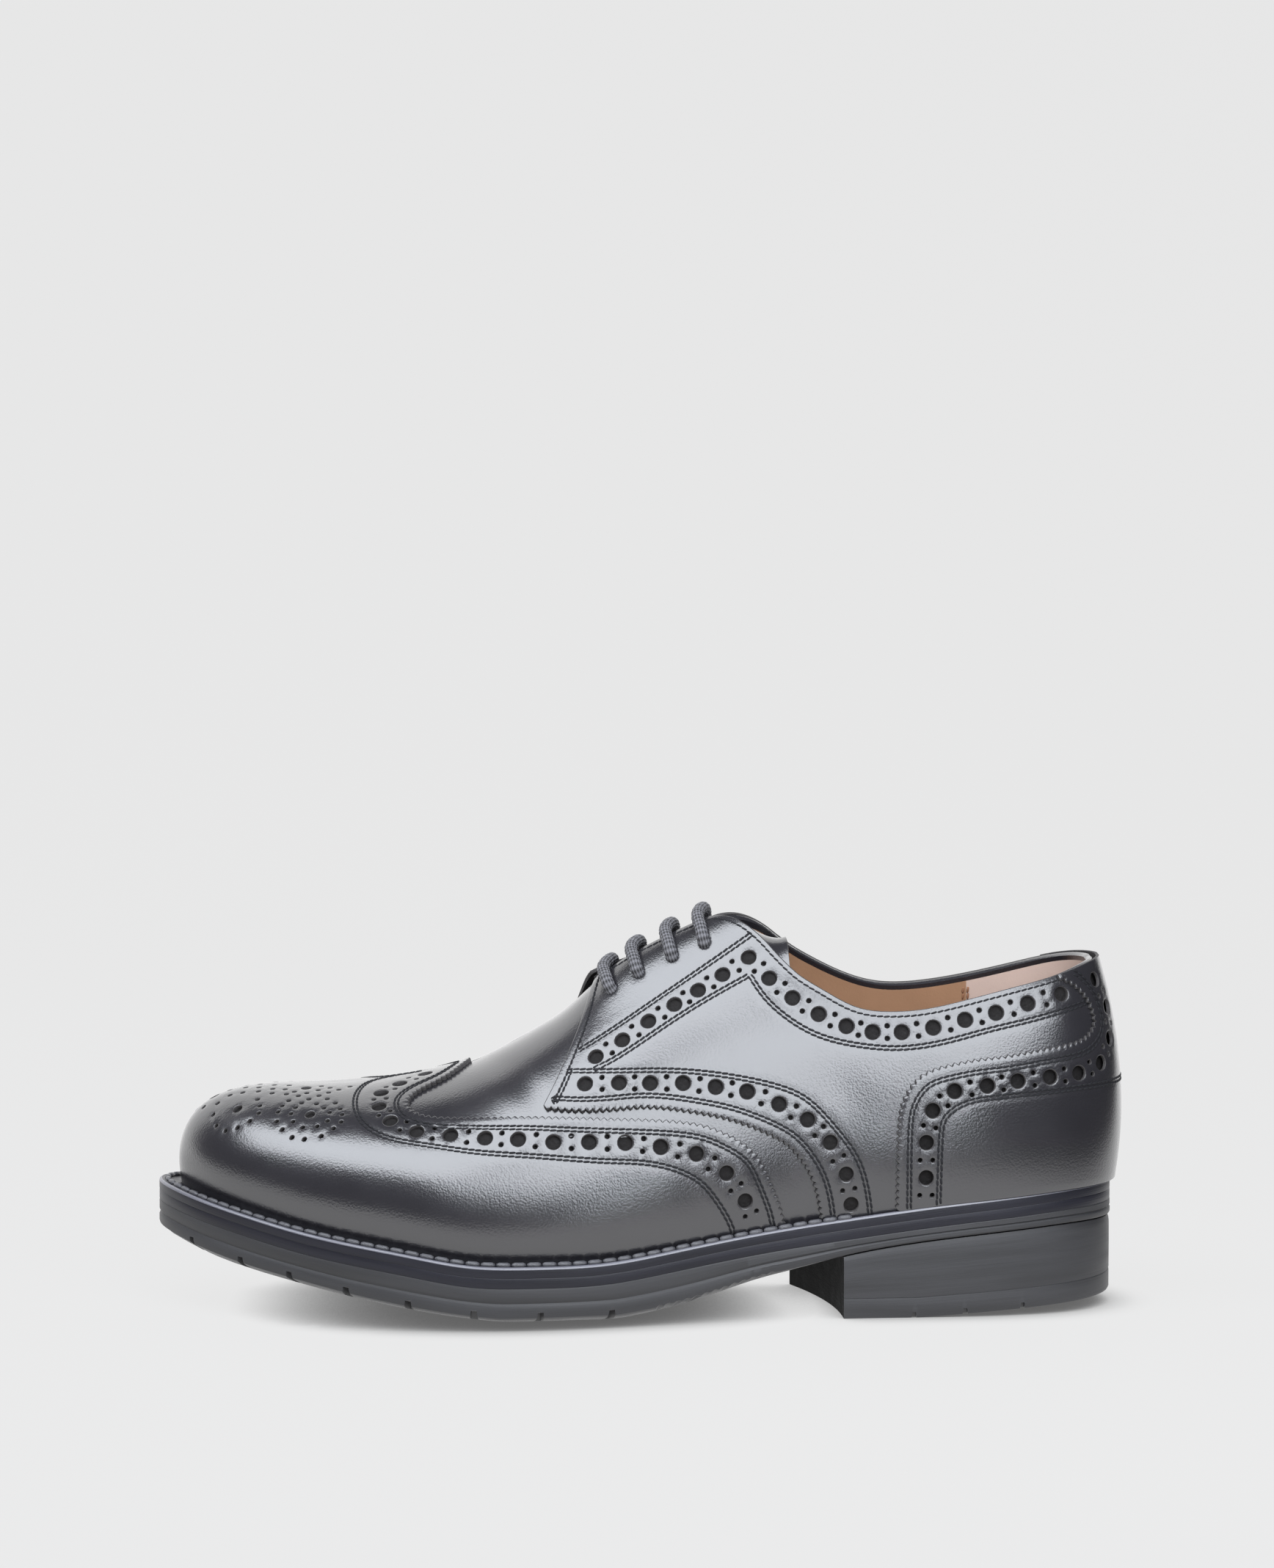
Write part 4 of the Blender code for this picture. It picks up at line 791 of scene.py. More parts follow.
def pairs(holes):
    """Centres of the small holes between large ones, one to each side of the line."""
    line = np.array(holes, float)
    middles = (line[1:] + line[:-1]) / 2
    points, _, normals, _ = in_space(middles)
    right = unit(np.cross(np.diff(in_space(line)[0], axis=0), normals))
    return press(np.vstack([points + right * PAIR_HALF, points - right * PAIR_HALF]))


def mirrored(line):
    """The same line on the inner side of the shoe, at the same levels."""
    line = np.asarray(line, float)
    run = FULL_RUN - line[:, 0]
    return np.column_stack([run, rise_at(run, level_at(*line.T))])


def behind(line):
    """The inner side's line with its runs counted back from the heel."""
    return mirrored(line) - [FULL_RUN, 0.0]


def punched(large, small, sizes):
    """Outlines of large and small holes about their centres."""
    return [hole(c, sizes.hole / MM) for c in large] + [hole(c, sizes.dot / MM) for c in small]


def dome(run, rise):
    """Flat map of the forepart: each rib laid out straight from its hub."""
    hub = hub_of(run)
    top = np.stack([HEEL_X - hub, AXIS_Y + ridge_y(hub)], -1)
    foot = last_point(run, 0 * run)[..., :2]
    return top + unit(foot - top) * np.maximum(whole_way(run) - rise, 0.0)[:, None]


def girdle(run, rise):
    """Flat map of the sides and the heel, seen from outside: run to the left, rise up."""
    return np.column_stack([-run, rise])


def inside(points, loop):
    """Whether flat points lie inside a closed loop."""
    a, b, share = loop, np.roll(loop, -1, axis=0), 2000
    result = np.zeros(len(points), bool)
    for first in range(0, len(points), share):
        x, y = points[first:first + share, 0, None], points[first:first + share, 1, None]
        crosses = (a[:, 1] > y) != (b[:, 1] > y)
        with np.errstate(divide="ignore", invalid="ignore"):
            reach = a[:, 0] + (y - a[:, 1]) * (b[:, 0] - a[:, 0]) / (b[:, 1] - a[:, 1])
        result[first:first + share] = np.count_nonzero(crosses & (x < reach), axis=1) % 2 == 1
    return result


def far_from(points, others, reach):
    """Whether each point lies further than a reach from all the others."""
    tree = search_tree(others)
    return np.array([tree.find((*point, 0.0))[2] > reach for point in points])


def ring_field():
    """Close places over the forepart, in rows round the ridge."""
    rows = []
    runs = np.linspace(0.0, FULL_RUN, 1600)
    for way in np.arange(SKIN_STEP / 2, RISES[:, -1].max(), SKIN_STEP):
        near = runs[whole_way(runs) > way]
        points = last_point(near, level_at(near, whole_way(near) - way))
        steps = ways(points)
        picked = np.interp(spaced(0.0, steps[-1], SKIN_STEP), steps, near)
        rows.append(np.column_stack([picked, whole_way(picked) - way]))
    return np.vstack(rows)


def row_field(first, last):
    """Close places over a side, in level rows between two runs."""
    rows = []
    runs = spaced(first, last, SKIN_STEP)
    for k, rise in enumerate(np.arange(SKIN_STEP / 2, RISES[:, -1].max(), SKIN_STEP * 0.87)):
        rows.append(level_row(runs + (k % 2) * SKIN_STEP / 2, rise))
    return np.vstack(rows)


def thinned(points, reach):
    """Which points to keep so that none is nearer than a reach to another."""
    tree = search_tree(points)
    keep = np.ones(len(points), bool)
    for i, point in enumerate(points):
        if keep[i]:
            for _, k, _ in tree.find_range((*point, 0.0), reach):
                if k > i:
                    keep[k] = False
    return keep


def seam_points(seams):
    """Places along seams with how deep they are pulled in: a trough between two flat rows."""
    rows = []
    for seam in seams:
        for width, sink in ((0.0, SEAM_SINK), (SEAM_REACH, 0.0), (-SEAM_REACH, 0.0)):
            line = resampled(aside(seam, width) if width else seam, 2 * LINE_STEP)
            rows.append(np.column_stack([line, np.full(len(line), sink)]))
    return np.vstack(rows)


def placed(name, data):
    """A new object in the scene."""
    made = bpy.data.objects.new(name, data)
    bpy.context.scene.collection.objects.link(made)
    return made


def smoothed(mesh, degrees):
    """Smooth shading, but for edges sharper than an angle."""
    mesh.shade_smooth()
    mesh.set_sharp_from_angle(angle=np.radians(degrees))


def mesh_piece(name, verts, faces, finishes, slots=None, smooth_deg=38, uv=None):
    """A mesh object from points in millimetres, with its materials and an optional map of two lengths."""
    mesh = bpy.data.meshes.new(name)
    mesh.from_pydata((np.asarray(verts) * MM).tolist(), [], [list(map(int, f)) for f in faces])
    for made in finishes:
        mesh.materials.append(finish(made))
    if slots is not None:
        mesh.polygons.foreach_set("material_index", np.asarray(slots, np.int32))
    if uv is not None:
        corners = np.zeros(len(mesh.loops), np.int32)
        mesh.loops.foreach_get("vertex_index", corners)
        layer = mesh.uv_layers.new(name="lengths")
        layer.data.foreach_set("uv", np.asarray(uv, np.float32)[corners].ravel())
    smoothed(mesh, smooth_deg)
    return placed(name, mesh)


def settle(piece, slot, *nodes):
    """The piece rides on the shoe and stands for solids, which it hides; its slot is not used."""
    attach(piece, "root")
    if nodes:
        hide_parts(*nodes)
    return piece


def signed_area(loop):
    after = np.roll(loop, -1, axis=0)
    return 0.5 * np.sum(loop[:, 0] * after[:, 1] - after[:, 0] * loop[:, 1])


def triangulated(loop_flat, hole_flats, field_flat):
    """Triangles over a flat outline with holes and field points, as rows of point indices."""
    points = np.vstack([loop_flat] + hole_flats + [field_flat])
    edges, owner, first = [], np.full(len(points), -1), 0
    for number, flat in enumerate([loop_flat] + hole_flats):
        count = len(flat)
        edges += [(first + i, first + (i + 1) % count) for i in range(count)]
        owner[first:first + count] = number
        first += count
    verts, _, faces, origins, _, _ = delaunay_2d_cdt([Vector(p) for p in points], edges, [], 1, 1e-7)
    crossings = [tuple(vert) for vert, origin in zip(verts, origins) if not origin]
    if crossings:
        raise RuntimeError(f"lines cross on the flat map at {crossings[:6]}")
    faces = np.array([[origins[i][0] for i in face] for face in faces])
    owners = owner[faces]
    same = (owners[:, 0] == owners[:, 1]) & (owners[:, 1] == owners[:, 2]) & (owners[:, 0] >= 0)
    keep = ~(same & (owners[:, 0] > 0))
    doubtful = np.nonzero(same & (owners[:, 0] == 0))[0]
    keep[doubtful] = inside(points[faces[doubtful]].mean(axis=1), loop_flat)
    return faces[keep]


def chosen(rows, spots, rims, clear, apart):
    """Rows and their flat spots that are inside an outline, clear of its rims and apart from each other."""
    outline, *hole_flats = rims
    keep = inside(spots, outline)
    rows, spots = rows[keep], spots[keep]
    keep = far_from(spots, np.vstack(rims), clear)
    for shape in hole_flats:
        centre = shape.mean(0)
        keep &= np.linalg.norm(spots - centre, axis=1) > np.linalg.norm(shape[0] - centre) + HOLE_CLEAR
    rows, spots = rows[keep], spots[keep]
    keep = thinned(spots, apart)
    return rows[keep], spots[keep]


def rim_rings(top, low, normals, shapes):
    """Rings of points down the cut edges of a sheet's outline and holes, and the number after each point."""
    rim = sum(len(shape) for shape in shapes)
    out, down = np.zeros((rim, 3)), np.zeros((rim, 3))
    after, first = np.zeros(rim, int), 0
    for number, shape in enumerate(shapes):
        here = np.arange(first, first + len(shape))
        after[here] = np.roll(here, -1)
        ahead = top[np.roll(here, -1)] - top[np.roll(here, 1)]
        width = 2 * np.linalg.norm(top[here] - top[here].mean(0), axis=1).mean()
        bevel = BEVEL if number == 0 else hole_bevel(width)
        out[here] = unit(np.cross(ahead, normals[here])) * bevel
        down[here] = -normals[here] * bevel
        first += len(shape)
    rings = [top[:rim] + out * share_out + down * share_down for share_out, share_down in ROUNDING]
    return rings + [low[:rim] + out], after


def leather_sheet(name, loop, holes, seams, field, flat_map, bottom, thick, lift=None):
    """A leather piece with punched holes, seams pulled in and rounded cut edges.

    loop and holes are rows of run and rise, and lift gives how far places stand up.
    """
    flat = flat_map(*loop.T)
    if signed_area(flat) < 0:
        loop, flat = loop[::-1], flat[::-1]
    hole_flats = []
    for i, rows in enumerate(holes):
        shape = flat_map(*rows.T)
        if signed_area(shape) > 0:
            holes[i], shape = rows[::-1], shape[::-1]
        hole_flats.append(shape)
    rims = [flat] + hole_flats
    sunk = seam_points(seams)
    sunk, sunk_flat = chosen(sunk, flat_map(*sunk.T[:2]), rims, SEAM_CLEAR, SEAM_CLEAR)
    field, field_flat = chosen(field, flat_map(*field.T), rims, RIM_CLEAR, FIELD_APART)
    keep = far_from(field_flat, sunk_flat, FIELD_CLEAR)
    field, field_flat = field[keep], field_flat[keep]
    faces = triangulated(flat, hole_flats, np.vstack([sunk_flat, field_flat]))
    rows = np.vstack([loop] + holes + [sunk[:, :2], field])
    rim = sum(len(shape) for shape in rims)
    sink = np.zeros(len(rows))
    sink[rim:rim + len(sunk)] = sunk[:, 2]
    level = level_at(*rows.T)
    raised = lift(rows) if lift else 0.0
    top, normals = leather(rows[:, 0], level, bottom + thick - sink + raised)
    low = top - normals * (thick - sink)[:, None]
    steps, after = rim_rings(top, low, normals, rims)
    count = len(rows)
    verts = np.vstack([top] + steps + [low[rim:]])
    i = np.arange(rim)
    shapes, slots = faces.tolist(), [0] * len(faces)
    for k in range(len(steps)):
        here, before = count + k * rim, 0 if k == 0 else count + (k - 1) * rim
        shapes += np.column_stack([after + before, i + before, i + here, after + here]).tolist()
        slots += [1 if k > 0 else 0] * rim
    shapes += (faces + count + (len(steps) - 1) * rim)[:, ::-1].tolist()
    slots += [1] * len(faces)
    return mesh_piece(name, verts, shapes, ["black_leather", "cut_leather"], slots)


def stitch_shape(length, width, height):
    """One stitch: a rounded strand along X, as points and faces."""
    sides, marks = 6, ((-0.5, 0.0), (-0.46, 0.6), (-0.28, 1.0), (0.28, 1.0), (0.46, 0.6), (0.5, 0.0))
    points, faces = [(marks[0][0] * length, 0.0, 0.0)], []
    for along, share in marks[1:-1]:
        for k in range(sides):
            a = 2 * np.pi * k / sides
            points.append((along * length, share * width / 2 * np.cos(a), share * height / 2 * np.sin(a)))
    points.append((marks[-1][0] * length, 0.0, 0.0))
    rings = len(marks) - 2
    for k in range(sides):
        after = (k + 1) % sides
        faces.append((0, 1 + after, 1 + k))
        for r in range(rings - 1):
            a = 1 + r * sides
            faces.append((a + k, a + after, a + sides + after, a + sides + k))
        end = 1 + (rings - 1) * sides
        faces.append((end + k, end + after, len(points) - 1))
    return np.array(points), faces


def strewn(shape, places, ahead, normals):
    """Copies of a shape at places, with its X ahead and its Z along the normals."""
    points, faces = shape
    side = unit(np.cross(normals, ahead))
    up = np.cross(ahead, side)
    axes = np.stack([ahead, side, up], axis=1)
    verts = (places[:, None, :] + np.einsum("kc,ncd->nkd", points, axes)).reshape(-1, 3)
    copies = [tuple(i + n * len(points) for i in face) for n in range(len(places)) for face in faces]
    return verts, copies


def directions(marks, way, line, reach):
    """Unit directions of a line at marks along it, each over a reach to either side."""
    return unit(at_marks(marks + reach, way, line) - at_marks(marks - reach, way, line))


def stitched(name, rows, offset, pitch, thread, lift=None):
    """The stitches of several rows of run and rise, on leather at an offset, as one piece."""
    shape = stitch_shape(pitch * STITCH_LONG, STITCH_WIDE, STITCH_HIGH)
    verts, faces, count = [], [], 0
    for row in rows:
        if len(row) < 2:
            continue
        line = resampled(row, LINE_STEP)
        offsets = np.full(len(line), offset) + (lift(line) if lift else 0.0)
        points, normals = leather(line[:, 0], level_at(*line.T), offsets)
        way = ways(points)
        if way[-1] < pitch:
            continue
        marks = np.arange(pitch / 2, way[-1], pitch)
        normal = unit(at_marks(marks, way, normals))
        ahead = directions(marks, way, points, STITCH_REACH)
        ahead = unit(ahead + STITCH_SLANT * np.cross(normal, ahead))
        more, shapes = strewn(shape, at_marks(marks, way, points), ahead, normal)
        verts.append(more)
        faces += [tuple(i + count for i in face) for face in shapes]
        count += len(more)
    return mesh_piece(name, np.vstack(verts), faces, [thread], smooth_deg=80)


def doubled(seams):
    """The rows of stitches of double seams, two for each."""
    return [trimmed(aside(seam, width)) for seam in seams for width in (SEAM_HALF, -SEAM_HALF)]


def overlay(node, loop, holes, seams, rows, field, flat_map, bottom, thick, lift=None):
    """A leather piece in a solid's place, with its rows of stitches."""
    sheet = leather_sheet(node + "_leather", loop, holes, seams, field, flat_map, bottom, thick, lift)
    settle(sheet, "leather", node)
    pitch = bpy.context.scene.derby_sizes.stitch / MM
    stitches = stitched(node + "_stitches", rows, bottom + thick - STITCH_SEAT, pitch, "waxed_thread", lift)
    settle(stitches, "leather")


def add_node(tree, kind, settings=(), **inputs):
    """A shader node with its settings, and its inputs set by socket name."""
    node = tree.nodes.new(kind)
    for name, value in dict(settings).items():
        setattr(node, name, value)
    for name, value in inputs.items():
        node.inputs[name.replace("_", " ")].default_value = value
    return node


def maths(tree, operation, *factors):
    """A node of two or three numbers, those after the first given."""
    node = add_node(tree, "ShaderNodeMath", {"operation": operation})
    for k, factor in enumerate(factors):
        node.inputs[k + 1].default_value = factor
    return node


def colour_mix(tree, first, second, **settings):
    """A mix of two colours by a number."""
    node = add_node(tree, "ShaderNodeMix", {"data_type": "RGBA", **settings})
    node.inputs[6].default_value = (*first, 1.0)
    node.inputs[7].default_value = (*second, 1.0)
    return node


def ramp(tree, start, end, low, high, **settings):
    """A step from a low value at the start to a high one at the end."""
    node = add_node(tree, "ShaderNodeMapRange", settings)
    for socket, value in zip(("From Min", "From Max", "To Min", "To Max"), (start, end, low, high)):
        node.inputs[socket].default_value = value
    return node


def wire(tree, *links):
    """Links of a tree, each from a node's output to a node's input."""
    for source, output, target, socket in links:
        tree.links.new(source.outputs[output], target.inputs[socket])


def group_tree(name, *numbers):
    """A shader node group that takes numbers and gives the height and the tone of a surface."""
    tree = bpy.data.node_groups.new(name, "ShaderNodeTree")
    for socket in numbers:
        tree.interface.new_socket(name=socket, in_out="INPUT", socket_type="NodeSocketFloat")
    for socket in ("Height", "Tone"):
        tree.interface.new_socket(name=socket, in_out="OUTPUT", socket_type="NodeSocketFloat")
    return tree, tree.nodes.new("NodeGroupInput"), tree.nodes.new("NodeGroupOutput")


def grain_group(name):
    """Fine pebbled grain of leather: its height, and a slow change of tone over the hide."""
    tree, given, result = group_tree(name, "Scale", "Tone Scale")
    place = add_node(tree, "ShaderNodeTexCoord")
    warp = add_node(tree, "ShaderNodeTexNoise", Scale=900.0, Detail=2.0)
    bend = add_node(tree, "ShaderNodeMixRGB", Fac=0.0006)
    pebbles = add_node(tree, "ShaderNodeTexVoronoi", {"feature": "SMOOTH_F1"}, Smoothness=0.35)
    fine = add_node(tree, "ShaderNodeTexNoise", Scale=5200.0, Detail=2.0)
    slow = add_node(tree, "ShaderNodeTexNoise", Detail=4.0, Roughness=0.55)
    softer = maths(tree, "MULTIPLY", 0.35)
    total = maths(tree, "SUBTRACT")
    wire(tree,
         (place, "Object", warp, "Vector"), (place, "Object", bend, 1), (warp, "Color", bend, 2),
         (bend, 0, pebbles, "Vector"), (place, "Object", fine, "Vector"), (place, "Object", slow, "Vector"),
         (given, "Scale", pebbles, "Scale"), (given, "Tone Scale", slow, "Scale"), (fine, "Fac", softer, 0),
         (softer, 0, total, 0), (pebbles, "Distance", total, 1), (total, 0, result, "Height"),
         (slow, "Fac", result, "Tone"))
    return tree


def streak_group(name):
    """Brushed streaks along a sole's edge: their height, and a change of tone."""
    tree, given, result = group_tree(name, "Length", "Fineness")
    place = add_node(tree, "ShaderNodeUVMap", {"uv_map": "lengths"})
    split = add_node(tree, "ShaderNodeSeparateXYZ")
    along, across = maths(tree, "MULTIPLY"), maths(tree, "MULTIPLY")
    joined = add_node(tree, "ShaderNodeCombineXYZ")
    streaks = add_node(tree, "ShaderNodeTexNoise", Scale=1.0, Detail=5.0, Roughness=0.6)
    wide = add_node(tree, "ShaderNodeVectorMath", {"operation": "MULTIPLY"})
    wide.inputs[1].default_value = (0.8, 0.16, 1.0)
    blotches = add_node(tree, "ShaderNodeTexNoise", Scale=1.0, Detail=3.0)
    wire(tree,
         (place, "UV", split, 0), (split, "X", along, 0), (given, "Length", along, 1),
         (split, "Y", across, 0), (given, "Fineness", across, 1), (along, 0, joined, "X"),
         (across, 0, joined, "Y"), (joined, 0, streaks, "Vector"), (joined, 0, wide, 0),
         (wide, 0, blotches, "Vector"), (streaks, "Fac", result, "Height"),
         (blotches, "Fac", result, "Tone"))
    return tree


def braid_group(name):
    """Crossing yarns of a lace, on a map along it and round it: their height and tone."""
    tree, given, result = group_tree(name, "Lay", "Yarns")
    place = add_node(tree, "ShaderNodeUVMap", {"uv_map": "lengths"})
    split = add_node(tree, "ShaderNodeSeparateXYZ")
    along, round_it, crossed = (maths(tree, "MULTIPLY") for _ in range(3))
    shown = maths(tree, "MULTIPLY_ADD", 0.5, 0.5)
    wire(tree,
         (place, "UV", split, 0), (split, "X", along, 0), (given, "Lay", along, 1),
         (split, "Y", round_it, 0), (given, "Yarns", round_it, 1))
    for k, operation in enumerate(("ADD", "SUBTRACT")):
        joined, wave = maths(tree, operation), maths(tree, "SINE")
        wire(tree, (along, 0, joined, 0), (round_it, 0, joined, 1), (joined, 0, wave, 0))
        wire(tree, (wave, 0, crossed, k))
    wire(tree, (crossed, 0, shown, 0), (shown, 0, result, "Height"), (shown, 0, result, "Tone"))
    return tree


def new_material(name, constants):
    """A material with its shader's constants set, and the shader."""
    made = bpy.data.materials.new(name)
    made.use_nodes = True
    shader = made.node_tree.nodes["Principled BSDF"]
    for socket, value in constants.items():
        shader.inputs[socket].default_value = value
    return made, shader


SURFACES = {"leather_grain": grain_group, "edge_streaks": streak_group, "lace_braid": braid_group}


def finish(name):
    """The material of a name: its tone, roughness and bump come from a surface group."""
    made = bpy.data.materials.get(name)
    if made:
        return made
    colour_name, group, numbers, roughness, tone, bump, depth, constants = FINISHES[name]
    colour = getattr(bpy.context.scene.derby_colours, colour_name)
    made, shader = new_material(name, constants)
    tree = made.node_tree
    surface = add_node(tree, "ShaderNodeGroup")
    surface.node_tree = bpy.data.node_groups.get(group) or SURFACES[group](group)
    for socket, value in zip(surface.inputs, numbers):
        socket.default_value = value
    shade = colour_mix(tree, [c * (1 - tone) for c in colour], [min(1.0, c * (1 + tone)) for c in colour])
    rough = ramp(tree, *TONE_RANGE, *roughness)
    raised = add_node(tree, "ShaderNodeBump", Strength=bump, Distance=depth * MM)
    wire(tree,
         (surface, "Tone", shade, 0), (shade, 2, shader, "Base Color"), (surface, "Tone", rough, "Value"),
         (rough, 0, shader, "Roughness"), (surface, "Height", raised, "Height"),
         (raised, 0, shader, "Normal"))
    return made


def plan_edge(runs, grow):
    """The feather edge in plan, moved out by a width for each run."""
    point = last_point(runs, 0 * runs)[:, :2]
    step = last_point(runs + 0.2, 0 * runs)[:, :2] - last_point(runs - 0.2, 0 * runs)[:, :2]
    out = unit(np.column_stack([-step[:, 1], step[:, 0]]))
    return point + out * np.asarray(grow)[..., None]


def extension(runs):
    """How far the sole stands out from the feather edge."""
    runs = np.mod(runs, FULL_RUN)
    station = station_of(runs)
    return np.where(runs < HALF_RUN, extension_outer(station), extension_inner(station))


SOLE_RUNS = np.linspace(0.0, FULL_RUN, 820)[:-1]


def sole_outline(grow):
    return plan_edge(SOLE_RUNS, extension(SOLE_RUNS) + grow)


def insole_outline(grow):
    return plan_edge(SOLE_RUNS[::2], np.full(len(SOLE_RUNS[::2]), grow - INSOLE_INSET))


def heel_outline(grow):
    """D-shaped plan of the heel, with its hollow, skewed breast."""
    outer, inner = run_at(BREAST_LATERAL), run_at(BREAST_MEDIAL, inner=True)
    runs = spaced(inner - FULL_RUN, outer, 1.5)
    back = plan_edge(runs, extension(runs) - HEEL_INSET + grow)
    a, b = back[-1], back[0]
    middle = spaced(0.0, 1.0, 0.02)[1:-1, None]
    breast = a + (b - a) * middle
    breast[:, 0] += 4 * BREAST_HOLLOW * (middle * (1 - middle))[:, 0]
    return np.vstack([back, breast])


def bed(points):
    """The bed of the feather edge."""
    return bed_z(HEEL_X - points[:, 0])


def over(surface, height):
    """A surface at a height over another."""
    return lambda points: surface(points) + height


def under_rubber(points):
    """Underside of the rubber, flat across the middle and rising to its edges."""
    station = HEEL_X - points[:, 0]
    sides = np.linspace(0.0, HALF_RUN, 400)
    outer = plan_edge(sides, extension(sides))
    inner = plan_edge(FULL_RUN - sides, extension(FULL_RUN - sides))
    low = np.interp(points[:, 0], outer[::-1, 0], outer[::-1, 1])
    high = np.interp(points[:, 0], inner[::-1, 0], inner[::-1, 1])
    across = np.abs((points[:, 1] - (low + high) / 2) / np.maximum((high - low) / 2, 1.0))
    edge = np.clip((across - FLAT_SHARE) / (1 - FLAT_SHARE), 0.0, 1.0) ** 2
    return np.maximum(underside_z(station), 0.0) + underside_lift(station) * edge


def under_heel(points):
    """Underside of the heel, flat in front and rising to the back."""
    return HEEL_RISE * np.maximum(HEEL_FLAT - (HEEL_X - points[:, 0]), 0.0)


def plate(name, outline, top, bottom, edge, finishes, step=5.0, teeth=None, rim_steps=0):
    """A sole layer: an outline filled at its top and bottom heights, with an edge of several steps.

    The first rim_steps of the edge take the second material.
    """
    rim = outline(0.0)
    n = len(rim)
    low, high = rim.min(axis=0), rim.max(axis=0)
    grid = np.array([(x, y) for x in spaced(low[0], high[0], step) for y in spaced(low[1], high[1], step)])
    grid = grid[inside(grid, rim)]
    grid = grid[far_from(grid, rim, 0.5 * step)]
    faces = triangulated(rim, [], grid)
    flip = signed_area(rim) < 0
    if flip and signed_area(np.vstack([rim, grid])[faces[0]]) < 0:
        faces = faces[:, ::-1]
    around = ways(rim)
    rings, maps = [], []
    tall = float(np.mean(top(rim) - bottom(rim)))
    for share, grow in edge:
        z = top(rim) * (1 - share) + bottom(rim) * share
        if teeth is not None:
            z = z + teeth * max(0.0, share - 0.5) * 2
        rings.append(np.column_stack([outline(grow), z]))
        maps.append(np.column_stack([around, np.full(n, -share * tall)]))
    verts = np.vstack(rings + [np.column_stack([grid, top(grid)]), np.column_stack([grid, bottom(grid)])])
    uv = np.vstack(maps + [grid, grid]) * MM
    end = n * len(rings)
    tops = np.where(faces < n, faces, faces - n + end)
    lows = np.where(faces < n, faces + end - n, faces - n + end + len(grid))[:, ::-1]
    shapes = tops.tolist() + lows.tolist()
    slots = [0] * len(shapes)
    for k in range(len(rings) - 1):
        slots += [1 if k < rim_steps else 0] * n
        i = np.arange(n) + k * n
        j = np.roll(np.arange(n), -1) + k * n
        quads = np.column_stack([i, i + n, j + n, j])
        shapes += (quads[:, ::-1] if flip else quads).tolist()
    return mesh_piece(name, verts, shapes, finishes, slots, uv=uv)


def cut_notches(target, stations, floor, width, height, length):
    """Grooves into the underside from both sides, square to its edge, cut by one joined cutter."""
    build = bmesh.new()
    for run in [run_at(station, inner) for inner in (False, True) for station in stations]:
        here = np.array([run])
        rim = plan_edge(here, extension(here))
        core = plan_edge(here, extension(here) - length)
        start, end = (Vector((*p[0], floor(p)[0])) for p in (rim, core))
        along = (end - start).normalized()
        side = Vector((0, 0, 1)).cross(along).normalized()
        turn = Matrix((along, side, along.cross(side))).transposed().to_4x4()
        size = Matrix.Diagonal((length + 2 * NOTCH_OVERRUN, width, 2 * height, 1.0))
        place = Matrix.Translation((start + end) / 2 - along * NOTCH_OVERRUN)
        square, corner = Matrix.Rotation(np.pi / 4, 4, "Z"), np.sqrt(0.5)
        shape = Matrix.Scale(MM, 4) @ place @ turn @ size @ square
        bmesh.ops.create_cone(build, cap_ends=True, segments=4, radius1=corner, radius2=corner * NOTCH_TAPER,
                              depth=1.0, matrix=shape)
    mesh = bpy.data.meshes.new(target.name + "_notches")
    build.to_mesh(mesh)
    build.free()
    cutter = placed(target.name + "_notches", mesh)
    cut = target.modifiers.new("notches", "BOOLEAN")
    cut.operation = "DIFFERENCE"
    cut.object = cutter
    shown = target.evaluated_get(bpy.context.evaluated_depsgraph_get())
    made = bpy.data.meshes.new_from_object(shown)
    target.modifiers.clear()
    target.data = made
    smoothed(made, 30.0)
    bpy.data.objects.remove(cutter)


def from_ridge(rows):
    """Places of run and rise from rows of run and way down from the ridge."""
    return np.array([(run, whole_way(run) - way) for run, way in rows])


def wing_holes(sizes):
    """Outlines of the wing's holes on both sides, the toe ornament's among them."""
    small = np.vstack([pairs(WING_HOLES + [WING_NEXT]), from_ridge(TOE_DOTS)])
    outlines = []
    large, toe = np.array(WING_HOLES), from_ridge(TOE_HOLES)
    for centres, width in ((large, sizes.hole), (toe, sizes.toe_hole), (small, sizes.dot)):
        outlines += [hole(c, width / MM) for c in np.vstack([centres, mirrored(centres)])]
    middle = from_ridge([(HALF_RUN, way) for way in (MIDDLE_HOLE, *MIDDLE_DOTS)])
    widths = [sizes.toe_hole] + [sizes.dot] * len(MIDDLE_DOTS)
    return outlines + [hole(c, width / MM) for c, width in zip(middle, widths)]


